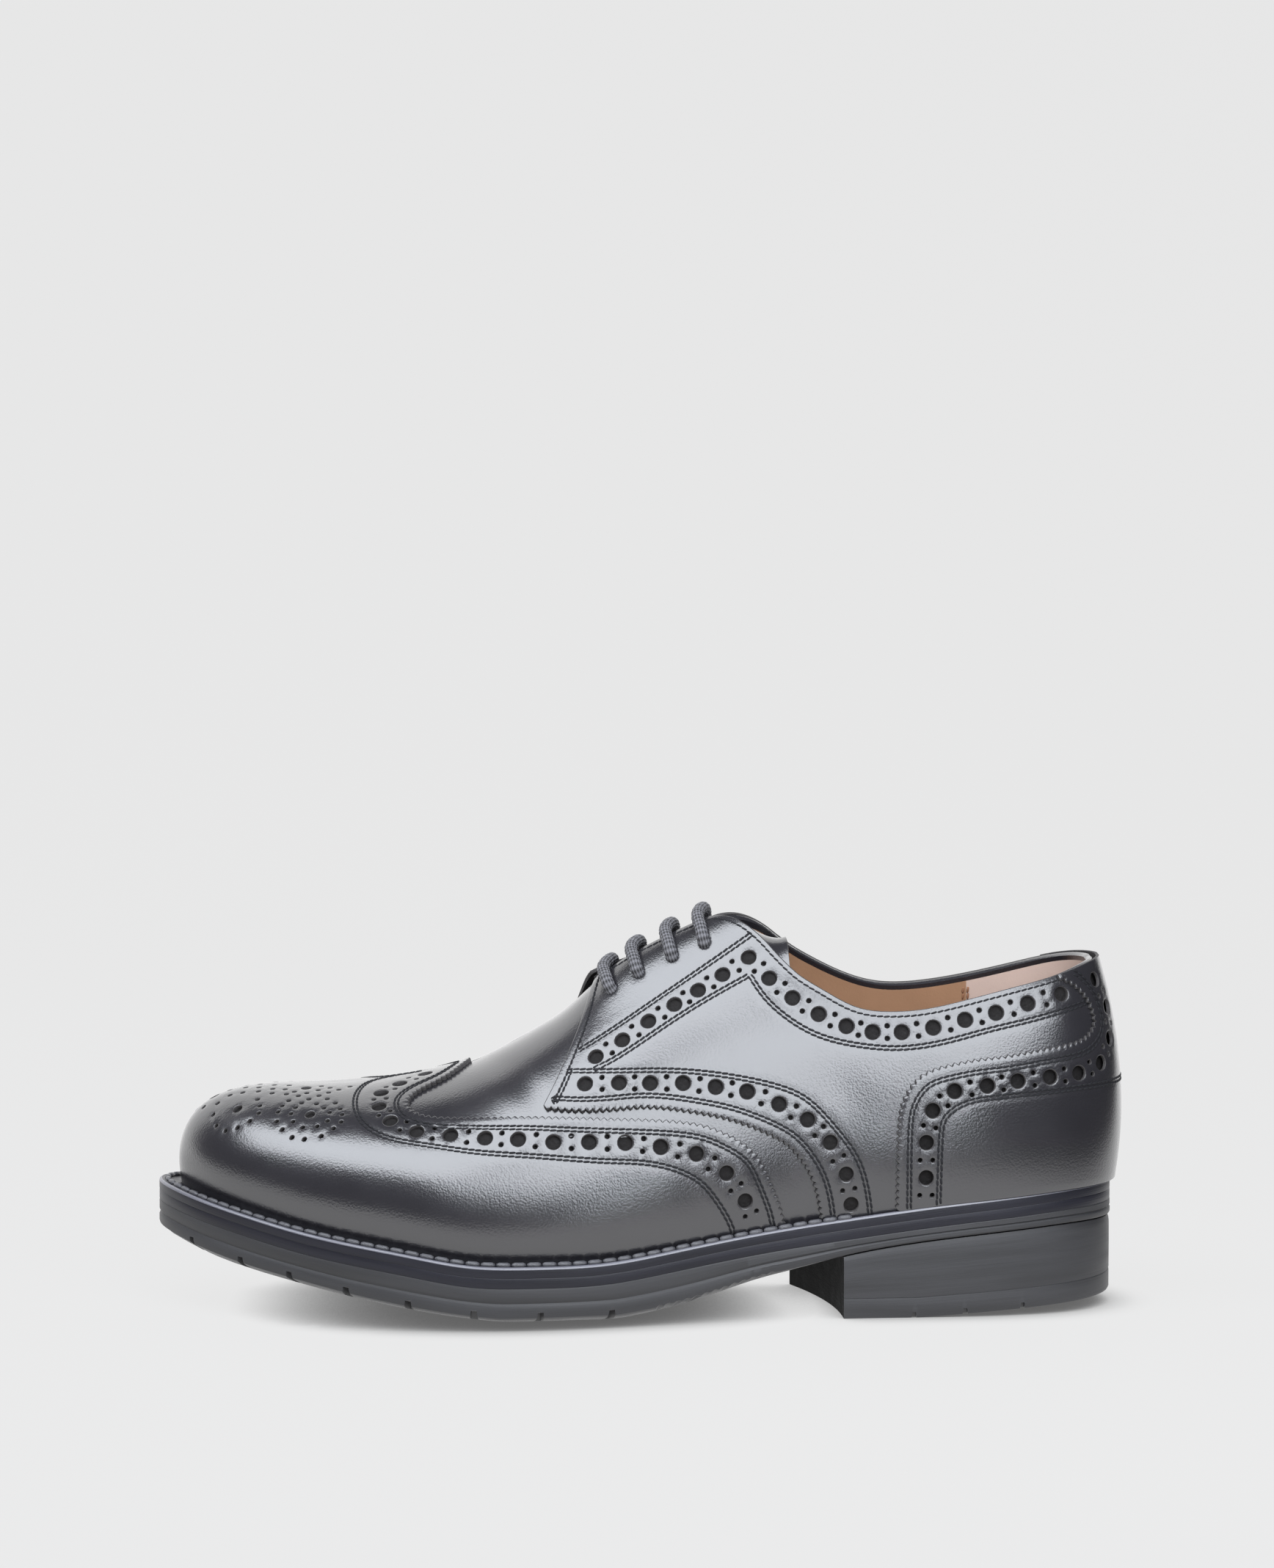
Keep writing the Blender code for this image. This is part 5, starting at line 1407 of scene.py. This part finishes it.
class DERBY_OT_upper(bpy.types.Operator):
    """The hollow upper: vamp outside, lining inside, open at the collar, throat and underneath"""

    bl_idname = "derby.upper"
    bl_label = "Upper and lining"

    def execute(self, context):
        columns, rows = UPPER_COLUMNS, UPPER_ROWS
        runs = np.linspace(0.0, FULL_RUN, columns + 1)[:-1]
        run = np.repeat(runs, rows)
        level = level_at(run, np.outer(top_rise(runs), np.linspace(0.0, 1.0, rows)).ravel())
        outer, normals = leather(run, level, np.zeros(len(run)))
        inner = outer - normals * WALL
        foot = np.arange(columns) * rows
        crown = foot + rows - 1
        is_open = open_level(runs) < CLOSED
        raised = unit(outer[crown] - outer[crown - 1]) * LIP_RISE
        raised[~is_open] = 0.0
        lips = [outer[crown] - normals[crown] * depth + raised for depth in LIP_DEPTHS]
        count = len(run)
        base = foot[:, None] + np.arange(rows - 1)
        beside = np.roll(foot, -1)[:, None] + np.arange(rows - 1)
        quads = np.stack([base, base + 1, beside + 1, beside], -1).reshape(-1, 4)
        faces = quads.tolist() + (quads[:, ::-1] + count).tolist()
        quad_runs = run[quads[:, 0]]
        covered = self.covered(quad_runs, level[quads].mean(1))
        heel = np.minimum(quad_runs, FULL_RUN - quad_runs) < HEEL_LINING_RUN
        binding = (quads[:, 0] % rows == rows - 2) & (open_level(quad_runs) < CLOSED)
        slots = np.where(covered, 3, 0).tolist() + np.where(binding, 0, np.where(heel, 2, 1)).tolist()
        first_lip = 2 * count + np.arange(columns)
        edges = [crown, first_lip, first_lip + columns, crown + count]
        for i in range(columns):
            j = (i + 1) % columns
            faces.append([foot[i], foot[j], foot[j] + count, foot[i] + count])
            slots.append(1)
            if is_open[i] or is_open[j]:
                faces += [[high[j], high[i], low[i], low[j]] for high, low in zip(edges[:-1], edges[1:])]
                slots += [0] * (len(edges) - 1)
        finishes = ["black_leather", "lining_leather", "heel_lining_leather", "backing_leather"]
        piece = mesh_piece("upper_and_lining", np.vstack([outer, inner] + lips), faces, finishes, slots)
        build = bmesh.new()
        build.from_mesh(piece.data)
        bmesh.ops.remove_doubles(build, verts=build.verts, dist=WELD * MM)
        bmesh.ops.delete(build, geom=[v for v in build.verts if not v.link_faces], context="VERTS")
        build.to_mesh(piece.data)
        build.free()
        settle(piece, "leather", "upper")
        self.lining_seams(context.scene.derby_sizes.stitch / MM)
        return {"FINISHED"}

    def lining_seams(self, pitch):
        """The rows of stitches between the side linings and the heel lining."""
        lines = []
        for run in (HEEL_LINING_RUN, FULL_RUN - HEEL_LINING_RUN):
            ends = LINING_SEAM_FOOT, float(np.interp(run, RUNS, OPEN_RISES)) - LINING_SEAM_TOP
            for shift in (-LINING_SEAM_HALF, LINING_SEAM_HALF):
                lines.append(np.array([(run + shift, rise) for rise in ends]))
        seam = stitched("lining_stitches", lines, -WALL - LINING_STITCH_OUT, pitch, "lining_thread")
        settle(seam, "lining")

    def covered(self, run, level):
        """Which places lie well under the wing or the quarters, so that they show in holes only."""
        folded = np.minimum(run, FULL_RUN - run)
        spots = np.column_stack([folded, rise_at(folded, level)])
        wing, side = drawn(WING_EDGE), np.vstack([drawn(QUARTER_FRONT), drawn(QUARTER_EDGE)])
        under = np.zeros(len(spots), bool)
        for line, end in ((wing, HALF_RUN + PAST), (side, -PAST)):
            close = [(line[-1, 0], BELOW), (end, BELOW), (end, ABOVE), (line[0, 0], ABOVE)]
            under |= inside(spots, np.vstack([line, close]))
        return under & far_from(spots, np.vstack([wing, side]), COVER)


class DERBY_OT_wing(bpy.types.Operator):
    """The wing tip with its toothed edge, bands of holes, toe ornament and seams"""

    bl_idname = "derby.wing"
    bl_label = "Wing tip"

    def execute(self, context):
        sizes = context.scene.derby_sizes
        edge = drawn(WING_EDGE)
        teeth = toothed(edge[::-1], sizes.tooth_pitch / MM, sizes.tooth_depth / MM)
        teeth = teeth[whole_way(teeth[:, 0]) - teeth[:, 1] > RIDGE_CLEAR]
        teeth = np.vstack([teeth, edge[:1]])
        teeth[0, 1] = FOOT_RISE
        runs = np.linspace(FULL_RUN - teeth[0, 0], teeth[0, 0], WING_FOOT_POINTS)[1:-1]
        loop = np.vstack([teeth[:-1], mirrored(teeth)[::-1], level_row(runs, FOOT_RISE)])
        seams = [aside(edge, EDGE_SEAM), drawn(WING_SEAM)]
        seams += [mirrored(rows) for rows in seams]
        overlay("wing_tip", loop, wing_holes(sizes), seams, doubled(seams), ring_field(), dome, SEAT,
                sizes.wing_thick / MM)
        return {"FINISHED"}


class DERBY_OT_quarters(bpy.types.Operator):
    """The two quarters with facings, eyelets, toothed lower edge, bands of holes and seams"""

    bl_idname = "derby.quarters"
    bl_label = "Quarters"

    def execute(self, context):
        sizes = context.scene.derby_sizes
        front, low = drawn(QUARTER_FRONT), drawn(QUARTER_EDGE)
        teeth = toothed(low, sizes.tooth_pitch / MM, sizes.tooth_depth / MM)
        teeth[-1, 1] = FOOT_RISE
        counter = aside(drawn(COUNTER_EDGE), TUCK)
        counter = counter[counter[:, 1] > FOOT_RISE]
        foot = level_row(spaced(teeth[-1, 0], counter[0, 0], FOOT_STEP)[1:-1], FOOT_RISE)
        top_runs = spaced(counter[-1, 0], QUARTER_FRONT[0][0], TOP_STEP)
        edge_seam = np.vstack([aside(front, -EDGE_SEAM), aside(low, -EDGE_SEAM)])
        corner = np.linalg.norm(edge_seam - QUARTER_EDGE[0], axis=1)
        edge_seam = edge_seam[corner > EDGE_SEAM * CORNER_CLEAR]
        drawn_seams = (BAND_SEAM, FACING_SEAM, FACING_LOW_SEAM, COLLAR_SEAM)
        seams = [edge_seam] + [drawn(rows) for rows in drawn_seams]
        large = np.vstack((BAND_HOLES, FACING_HOLES, COLLAR_HOLES))
        small = np.vstack([pairs(rows) for rows in (BAND_HOLES, FACING_HOLES + COLLAR_HOLES)])
        lace_runs = run_of_hub(np.array(LACE_STATIONS))
        for node, inner in (("quarter_lateral", False), ("quarter_medial", True)):
            turned = mirrored if inner else np.array
            eyelet_runs = FULL_RUN - lace_runs if inner else lace_runs
            eyelets = np.column_stack([eyelet_runs, whole_way(eyelet_runs) - LACE_REACH])
            holes = punched(turned(large), turned(small), sizes)
            holes += [ring(centre, EYELET_RADIUS, EYELET_SIDES) for centre in eyelets]
            top = turned(level_row(top_runs, 0.0))
            top[:, 1] = top_rise(top[:, 0])
            loop = np.vstack([turned(front)[1:-1], turned(teeth), turned(foot), turned(counter)[:-1], top])
            loop[:, 1] = np.minimum(loop[:, 1], top_rise(loop[:, 0]))
            own_seams = [turned(seam) for seam in seams]
            rows = doubled(own_seams)
            rows.append(trimmed(aside(top, TOP_SEAM if inner else -TOP_SEAM)))
            second = 0 if inner else 1
            rows[second] = rows[second][rows[second][:, 1] < FRONT_SPLIT]
            ends = (HALF_RUN + VAMP_RUN, FULL_RUN) if inner else (0.0, HALF_RUN - VAMP_RUN)
            overlay(node, loop, holes, own_seams, rows, row_field(*ends), girdle, SEAT,
                    sizes.quarter_thick / MM, front_lift if inner else None)
        return {"FINISHED"}


class DERBY_OT_counter(bpy.types.Operator):
    """The heel counter with its dog-tail, toothed edge, holes and seams"""

    bl_idname = "derby.counter"
    bl_label = "Heel counter"

    def execute(self, context):
        sizes = context.scene.derby_sizes
        edge = drawn(COUNTER_EDGE)
        teeth = toothed(edge, sizes.tooth_pitch / MM, sizes.tooth_depth / MM, side=-1)
        teeth[0, 1] = FOOT_RISE
        top_runs = spaced(teeth[-1, 0], -teeth[-1, 0], FOOT_STEP)[1:-1]
        foot_runs = spaced(-teeth[0, 0], teeth[0, 0], FOOT_STEP)[1:-1]
        top, foot = np.column_stack([top_runs, top_rise(top_runs)]), level_row(foot_runs, FOOT_RISE)
        loop = np.vstack([teeth, top, behind(teeth)[::-1], foot])
        loop[:, 1] = np.minimum(loop[:, 1], top_rise(loop[:, 0]))
        large, small = np.array(COUNTER_HOLES), pairs([COUNTER_NEXT] + COUNTER_HOLES)
        holes = punched(large, small, sizes) + punched(behind(large), behind(small), sizes)
        seams = [aside(edge, EDGE_SEAM), drawn(COUNTER_SEAM)]
        seams += [behind(rows) for rows in seams]
        field = row_field(-COUNTER_REACH, COUNTER_REACH)
        overlay("heel_counter", loop, holes, seams, doubled(seams), field, girdle,
                2 * SEAT + sizes.quarter_thick / MM, sizes.counter_thick / MM)
        return {"FINISHED"}


class DERBY_OT_tongue(bpy.types.Operator):
    """The soft tongue under the facings, with its free end leaning in"""

    bl_idname = "derby.tongue"
    bl_label = "Tongue"

    def execute(self, context):
        stations = spaced(TONGUE_FRONT, TONGUE_TOP, TONGUE_STEP)
        across = spaced(-TONGUE_HALF_WIDTH, TONGUE_HALF_WIDTH, TONGUE_STEP)
        n, m = len(stations), len(across)
        station, way = np.repeat(stations, m), np.tile(across, n)
        runs = run_of_hub(station)
        runs = np.where(way < 0, runs, FULL_RUN - runs)
        level = level_at(runs, whole_way(runs) - np.abs(way))
        droop = np.outer(fade(station, TONGUE_FREE, TONGUE_TOP), (0.0, 0.0, -TONGUE_DROOP))
        skived = TONGUE_EDGE + (TONGUE_HALF_WIDTH - np.abs(way)) / TONGUE_SKIVE
        thick = np.minimum(1.0, skived) * TONGUE_THICK
        middle = -(WALL + TONGUE_GAP + TONGUE_THICK / 2)
        base, normals = hide(runs, level), normal_of(hide, runs, level)
        skins = [base + normals * (middle + s * thick / 2)[:, None] + droop for s in (1, -1)]
        corner = (np.arange(n - 1)[:, None] * m + np.arange(m - 1)).ravel()
        quads = np.column_stack([corner, corner + 1, corner + m + 1, corner + m])
        sides = {(a, b) for q in quads.tolist() for a, b in zip(q, q[1:] + q[:1])}
        walls = [[b, a, a + n * m, b + n * m] for a, b in sorted(sides) if (b, a) not in sides]
        faces = quads.tolist() + (quads[:, ::-1] + n * m).tolist() + walls
        slots = [0] * len(quads) + [1] * len(quads) + [2] * len(walls)
        piece = mesh_piece("tongue_leather", np.vstack(skins), faces,
                           ["black_leather", "lining_leather", "cut_leather"], slots)
        build = bmesh.new()
        build.from_mesh(piece.data)
        bmesh.ops.recalc_face_normals(build, faces=build.faces)
        build.to_mesh(piece.data)
        build.free()
        settle(piece, "leather", "tongue")
        return {"FINISHED"}


class DERBY_OT_sole(bpy.types.Operator):
    """Insole, stitched welt, midsole, lugged rubber outsole, stacked heel and its top piece"""

    bl_idname = "derby.sole"
    bl_label = "Sole and heel"

    def execute(self, context):
        sizes = context.scene.derby_sizes
        welt_top = -GAP
        midsole_top = welt_top - WELT_THICK - GAP
        rubber_top = midsole_top - MIDSOLE_THICK - GAP
        edge_finishes, lining = ["inked_edge", "burnished_edge"], ["lining_leather"]
        insole = plate("insole_sock", insole_outline, over(bed, INSOLE_THICK), bed, PLAIN_EDGE, lining)
        settle(insole, "lining", "insole")
        # the welt's top three rim steps take the lighter finish, a painted highlight along its top edge
        welt = plate("welt_strip", sole_outline, over(bed, welt_top), over(bed, midsole_top + SLIT),
                     WELT_EDGE, edge_finishes, rim_steps=3)
        settle(welt, "sole_edge", "welt")
        midsole = plate("midsole_layer", sole_outline, over(bed, midsole_top), over(bed, rubber_top + SLIT),
                        MIDSOLE_EDGE, edge_finishes[:1])
        settle(midsole, "sole_edge", "midsole")
        station = station_of(SOLE_RUNS)
        first, last, pitch, depth = WAIST_TEETH
        saw = np.abs(np.mod(SOLE_RUNS / pitch, 2.0) - 1.0)
        teeth = np.where((station > first) & (station < last), depth * saw, 0.0)
        rubber = plate("rubber_outsole", sole_outline, over(bed, rubber_top), under_rubber, RUBBER_EDGE,
                       ["sole_rubber"], teeth=teeth)
        cut_notches(rubber, NOTCH_STATIONS, under_rubber, *NOTCH)
        settle(rubber, "rubber", "outsole")
        self.heel()
        self.welt_stitches(sizes.welt_stitch / MM)
        return {"FINISHED"}

    def heel(self):
        """The stacked heel and the rubber piece under it."""
        piece_top = over(under_heel, TOP_PIECE)
        finishes = ["sole_rubber", "rough_breast"]
        stack = plate("heel_lifts", heel_outline, over(under_rubber, -GAP), over(piece_top, SLIT),
                      STACK_EDGE, finishes)
        self.roughen_and_shade_breast(stack)
        settle(stack, "sole_edge", "heel_stack")
        piece = plate("heel_rubber", heel_outline, piece_top, under_heel, PIECE_EDGE, finishes)
        self.roughen_and_shade_breast(piece)
        cut_notches(piece, HEEL_NOTCH_STATIONS, under_heel, *HEEL_NOTCH)
        settle(piece, "rubber", "heel_top_piece")

    def roughen_and_shade_breast(self, piece):
        """The cut face at the front of the heel takes the second material: rough, and near black as painted
        shade under the arch.
        """
        for face in piece.data.polygons:
            if face.normal.x < BREAST_FACING:
                face.material_index = 1

    def welt_stitches(self, pitch):
        """Thick stitches along the welt, from breast to breast round the toe."""
        start = run_at(WELT_STITCH_START)
        runs = spaced(start, FULL_RUN - start, LINE_STEP)
        flat = plan_edge(runs, extension(runs) * WELT_STITCH_SHARE)
        line = np.column_stack([flat, bed(flat) - GAP + WELT_STITCH_RISE])
        way = ways(line)
        marks = np.arange(pitch, way[-1] - pitch, pitch)
        up = np.tile([0.0, 0.0, 1.0], (len(marks), 1))
        shape = stitch_shape(pitch * WELT_STITCH_LONG, WELT_STITCH_WIDE, WELT_STITCH_HIGH)
        ahead = directions(marks, way, line, WELT_STITCH_REACH)
        verts, faces = strewn(shape, at_marks(marks, way, line), ahead, up)
        stitches = mesh_piece("welt_stitches", verts, faces, ["welt_thread"], smooth_deg=80)
        settle(stitches, "sole_edge")


class DERBY_OT_lace(bpy.types.Operator):
    """One round braided lace in four straight bars, through the eyelets and on under the facings"""

    bl_idname = "derby.lace"
    bl_label = "Lace"

    def execute(self, context):
        radius = context.scene.derby_sizes.lace / MM / 2
        path = self.route()
        way = ways(path[:, :3])
        marks = spaced(0.0, way[-1], LACE_STEP)
        line = np.column_stack([natural_spline(way, path[:, k])(marks) for k in range(3)])
        thickness = np.interp(marks, way, path[:, 3])
        found = press(line)
        normals = normal_of(last_point, found[:, 0], level_at(*found.T))
        angles = np.linspace(0.0, 2 * np.pi, LACE_SIDES, endpoint=False)
        round_map = angles * LACE_STRANDS / BRAID_YARNS
        ahead = unit(np.gradient(line, axis=0))
        side = unit(np.cross(ahead[0], (0.3, 0.2, 1.0)))
        verts, uv = [], []
        for point, front, normal, mark, share in zip(line, ahead, normals, marks, thickness):
            side = unit(side - front * np.dot(side, front))
            other = np.cross(front, side)
            turn = 2 * np.pi * mark / LACE_LAY
            strands = np.cos(LACE_STRANDS * angles + turn) * np.cos(LACE_STRANDS * angles - turn)
            spoke = np.outer(np.cos(angles), side) + np.outer(np.sin(angles), other)
            spoke *= (radius * (LACE_CORE + LACE_SWELL * strands))[:, None]
            spoke -= np.outer(spoke @ normal, normal) * (1 - share)
            verts.append(point + spoke)
            uv.append(np.column_stack([np.full(LACE_SIDES, mark * MM), round_map]))
        n = len(line)
        corner = np.arange(LACE_SIDES)
        start = np.arange(n - 1)[:, None] * LACE_SIDES
        i, j = (start + corner).ravel(), (start + np.roll(corner, -1)).ravel()
        faces = np.column_stack([i, j, j + LACE_SIDES, i + LACE_SIDES]).tolist()
        faces += [corner[::-1].tolist(), ((n - 1) * LACE_SIDES + corner).tolist()]
        piece = mesh_piece(
            "lace", np.vstack(verts), faces, ["braided_lace"], smooth_deg=60, uv=np.vstack(uv))
        settle(piece, "lace", *(f"lace_bar_{k}" for k in range(1, 5)))
        return {"FINISHED"}

    def spot(self, station, way, offset):
        """A place over the throat: way from the ridge (outer side negative) and offset from the upper."""
        run = run_of_hub(station)
        run = np.array([run if way < 0 else FULL_RUN - run])
        return leather(run, level_at(run, whole_way(run) - abs(way)), np.array([offset]))[0][0]

    def route(self):
        """Points of the lace with its thickness, from the top bar down and back under a facing."""
        bar = [(-share, lift) for share, lift in HALF_BAR] + [(0.0, LACE_MIDDLE)] + HALF_BAR[::-1]
        points = []

        def add(station, way, offset, thickness):
            points.append((*self.spot(station, way, offset), thickness))
        downward = LACE_STATIONS[::-1]
        for number, station in enumerate(downward):
            way = 1 if number % 2 == 0 else -1
            add(station, -LACE_REACH * way, LACE_UNDER, LACE_PRESSED)
            for share, lift in bar:
                bow = max(0.0, 1.0 - ((share * way - LACE_BOW_PEAK) / (1 - LACE_BOW_PEAK)) ** 2)
                add(station - LACE_BOW * bow, LACE_REACH * share * way, lift, 1.0)
            add(station, LACE_REACH * way, LACE_UNDER, LACE_PRESSED)
            if number + 1 < len(downward):
                middle = (station + downward[number + 1]) / 2
                add(middle, (LACE_REACH + LACE_TURN) * way, LACE_UNDER, LACE_HIDDEN)
        for station in (*LACE_STATIONS[1:3], LACE_STATIONS[3] + LACE_END_FORWARD):
            add(station, -(LACE_REACH + LACE_END), LACE_UNDER, LACE_HIDDEN)
        return np.array(points)


class DERBY_OT_stage(bpy.types.Operator):
    """Floor and backdrop, lights, world and camera"""

    bl_idname = "derby.stage"
    bl_label = "Stage"

    def execute(self, context):
        stage = context.scene.derby_stage
        colours = context.scene.derby_colours
        context.scene.view_settings.view_transform = "Standard"
        self.sweep(colours.floor)
        self.world(context.scene)
        self.panel(stage.panel)
        self.card(stage.card)
        camera = placed("camera", bpy.data.cameras.new("camera"))
        camera.location = stage.eye
        camera.rotation_euler = (stage.tilt, 0.0, stage.turn)
        camera.data.lens = stage.lens
        camera.data.sensor_width = 36.0
        context.scene.camera = camera
        return {"FINISHED"}

    def sweep(self, colour):
        """A floor that curves up into a backdrop far behind the shoe."""
        start = SWEEP_BACK - SWEEP_BEND
        profile = [(SWEEP_FRONT, 0.0), (0.0, 0.0), (start, 0.0)]
        for angle in np.linspace(0.1, np.pi / 2, 16):
            profile.append((start + SWEEP_BEND * np.sin(angle), SWEEP_BEND - SWEEP_BEND * np.cos(angle)))
        profile.append((SWEEP_BACK, SWEEP_TOP))
        verts = [(x, y, z) for x in (-SWEEP_HALF_WIDTH, SWEEP_HALF_WIDTH) for y, z in profile]
        n = len(profile)
        mesh = bpy.data.meshes.new("sweep")
        mesh.from_pydata(verts, [], [(i, i + n, i + n + 1, i + 1)[::-1] for i in range(n - 1)])
        mesh.shade_smooth()
        mesh.materials.append(self.floor_finish(colour))
        floor = placed("sweep", mesh)

    def floor_finish(self, colour):
        """An even pale floor to the camera, its light all glow with a painted contact shadow near the sole;
        to all other rays it glows as a painted lit table with dark round it and a brighter backdrop, which
        the leather mirrors.
        """
        made, shader = new_material("pale_floor", {
            "Base Color": (*[c * FLOOR_SHADOW for c in colour], 1.0), "Roughness": 0.9,
            "Specular IOR Level": 0.0, "Emission Strength": 1.0})
        tree = made.node_tree
        rays = add_node(tree, "ShaderNodeLightPath")
        place = add_node(tree, "ShaderNodeTexCoord")
        across = add_node(tree, "ShaderNodeVectorMath", {"operation": "DOT_PRODUCT"})
        across.inputs[1].default_value = TABLE_CORNER
        split = add_node(tree, "ShaderNodeSeparateXYZ")
        soft = {"interpolation_type": "SMOOTHSTEP"}
        # painted light: the table and backdrop glow that the leather mirrors, given to all but camera rays;
        # lit below is that glow, not light from a lamp
        table = ramp(tree, *TABLE_FADE, TABLE_LIGHT, TABLE_DARK, **soft)
        backdrop = ramp(tree, *BACKDROP_RISE, 1.0, BACKDROP_LIGHT, **soft)
        both = maths(tree, "MULTIPLY")
        dark = (0.0, 0.0, 0.0)
        lit = colour_mix(tree, dark, colour, clamp_factor=False)
        # painted contact shadow: occlusion near the sole darkens the floor's glow that the camera sees
        near = add_node(tree, "ShaderNodeAmbientOcclusion", {"samples": 8}, Distance=CONTACT_REACH)
        shade = ramp(tree, 0.0, 1.0, CONTACT_SHADE, 1.0, **soft)
        glow = colour_mix(tree, dark, [c * FLOOR_GLOW for c in colour])
        seen = colour_mix(tree, dark, dark)
        wire(tree,
             (near, "AO", shade, "Value"), (shade, 0, glow, 0), (glow, 2, seen, 7),
             (place, "Object", across, 0), (place, "Object", split, 0), (across, "Value", table, "Value"),
             (split, "Y", backdrop, "Value"), (table, 0, both, 0), (backdrop, 0, both, 1), (both, 0, lit, 0),
             (rays, "Is Camera Ray", seen, 0), (lit, 2, seen, 6), (seen, 2, shader, "Emission Color"))
        return made

    def card(self, brightness):
        """A lit card, out of the camera's sight, that the side of the shoe mirrors."""
        mesh = bpy.data.meshes.new("light_card")
        mesh.from_pydata([(x, CARD_Y, z) for x, z in CARD], [], [tuple(range(len(CARD)))])
        made, _ = new_material("lit_card", {
            "Base Color": (0.0, 0.0, 0.0, 1.0), "Specular IOR Level": 0.0,
            "Emission Color": (*PANEL_COLOUR, 1.0), "Emission Strength": brightness})
        mesh.materials.append(made)
        card = placed("light_card", mesh)
        card.visible_camera = False

    def world(self, scene):
        """Pale to the camera past the floor's end, dim to everything else."""
        world = bpy.data.worlds.new("studio")
        world.use_nodes = True
        tree = world.node_tree
        rays = add_node(tree, "ShaderNodeLightPath")
        tone = colour_mix(tree, ROOM_LIGHT, FAR_COLOUR)
        wire(tree, (rays, "Is Camera Ray", tone, 0), (tone, 2, tree.nodes["Background"], "Color"))
        scene.world = world

    def panel(self, power):
        """A rectangular soft light round from the front and up, facing the shoe."""
        turn, rise = np.radians(PANEL_TURN), np.radians(PANEL_RISE)
        ahead = Vector((np.sin(turn) * np.cos(rise), -np.cos(turn) * np.cos(rise), np.sin(rise)))
        place = ahead * PANEL_DISTANCE
        light = bpy.data.lights.new("panel_over", "AREA")
        light.shape = "RECTANGLE"
        light.size, light.size_y = PANEL_SIZE
        light.energy = power
        light.color = PANEL_COLOUR
        made = placed("panel_over", light)
        made.location = place + Vector((0.0, 0.0, PANEL_AIM))
        made.rotation_euler = (-place).to_track_quat("-Z", "Y").to_euler()
        made.visible_camera = False


class DERBY_PT_panel(bpy.types.Panel):
    """Lists the shoe's steps, sizes and colours."""

    bl_idname = "DERBY_PT_panel"
    bl_label = "Full brogue derby"
    bl_space_type = "VIEW_3D"
    bl_region_type = "UI"
    bl_category = "Derby"

    def draw(self, context):
        for operator in OPERATORS:
            self.layout.operator(operator.bl_idname)
        for settings in (context.scene.derby_sizes, context.scene.derby_colours, context.scene.derby_stage):
            box = self.layout.box()
            for name in settings.__annotations__:
                box.prop(settings, name)


OPERATORS = (DERBY_OT_stage, DERBY_OT_lace, DERBY_OT_upper, DERBY_OT_wing, DERBY_OT_quarters,
             DERBY_OT_counter, DERBY_OT_tongue, DERBY_OT_sole)
GROUPS = {"derby_sizes": DerbySizes, "derby_colours": DerbyColours, "derby_stage": DerbyStage}


def register():
    for kind in (*GROUPS.values(), *OPERATORS, DERBY_PT_panel):
        bpy.utils.register_class(kind)
    for name, kind in GROUPS.items():
        setattr(bpy.types.Scene, name, bpy.props.PointerProperty(type=kind))


def unregister():
    for name in GROUPS:
        delattr(bpy.types.Scene, name)
    for kind in (DERBY_PT_panel, *reversed(OPERATORS), *GROUPS.values()):
        bpy.utils.unregister_class(kind)


def main():
    register()
    bpy.ops.derby.stage()
    bpy.ops.derby.lace()
    bpy.ops.derby.upper()
    bpy.ops.derby.wing()
    bpy.ops.derby.quarters()
    bpy.ops.derby.counter()
    bpy.ops.derby.tongue()
    bpy.ops.derby.sole()


if __name__ == "__main__":
    main()
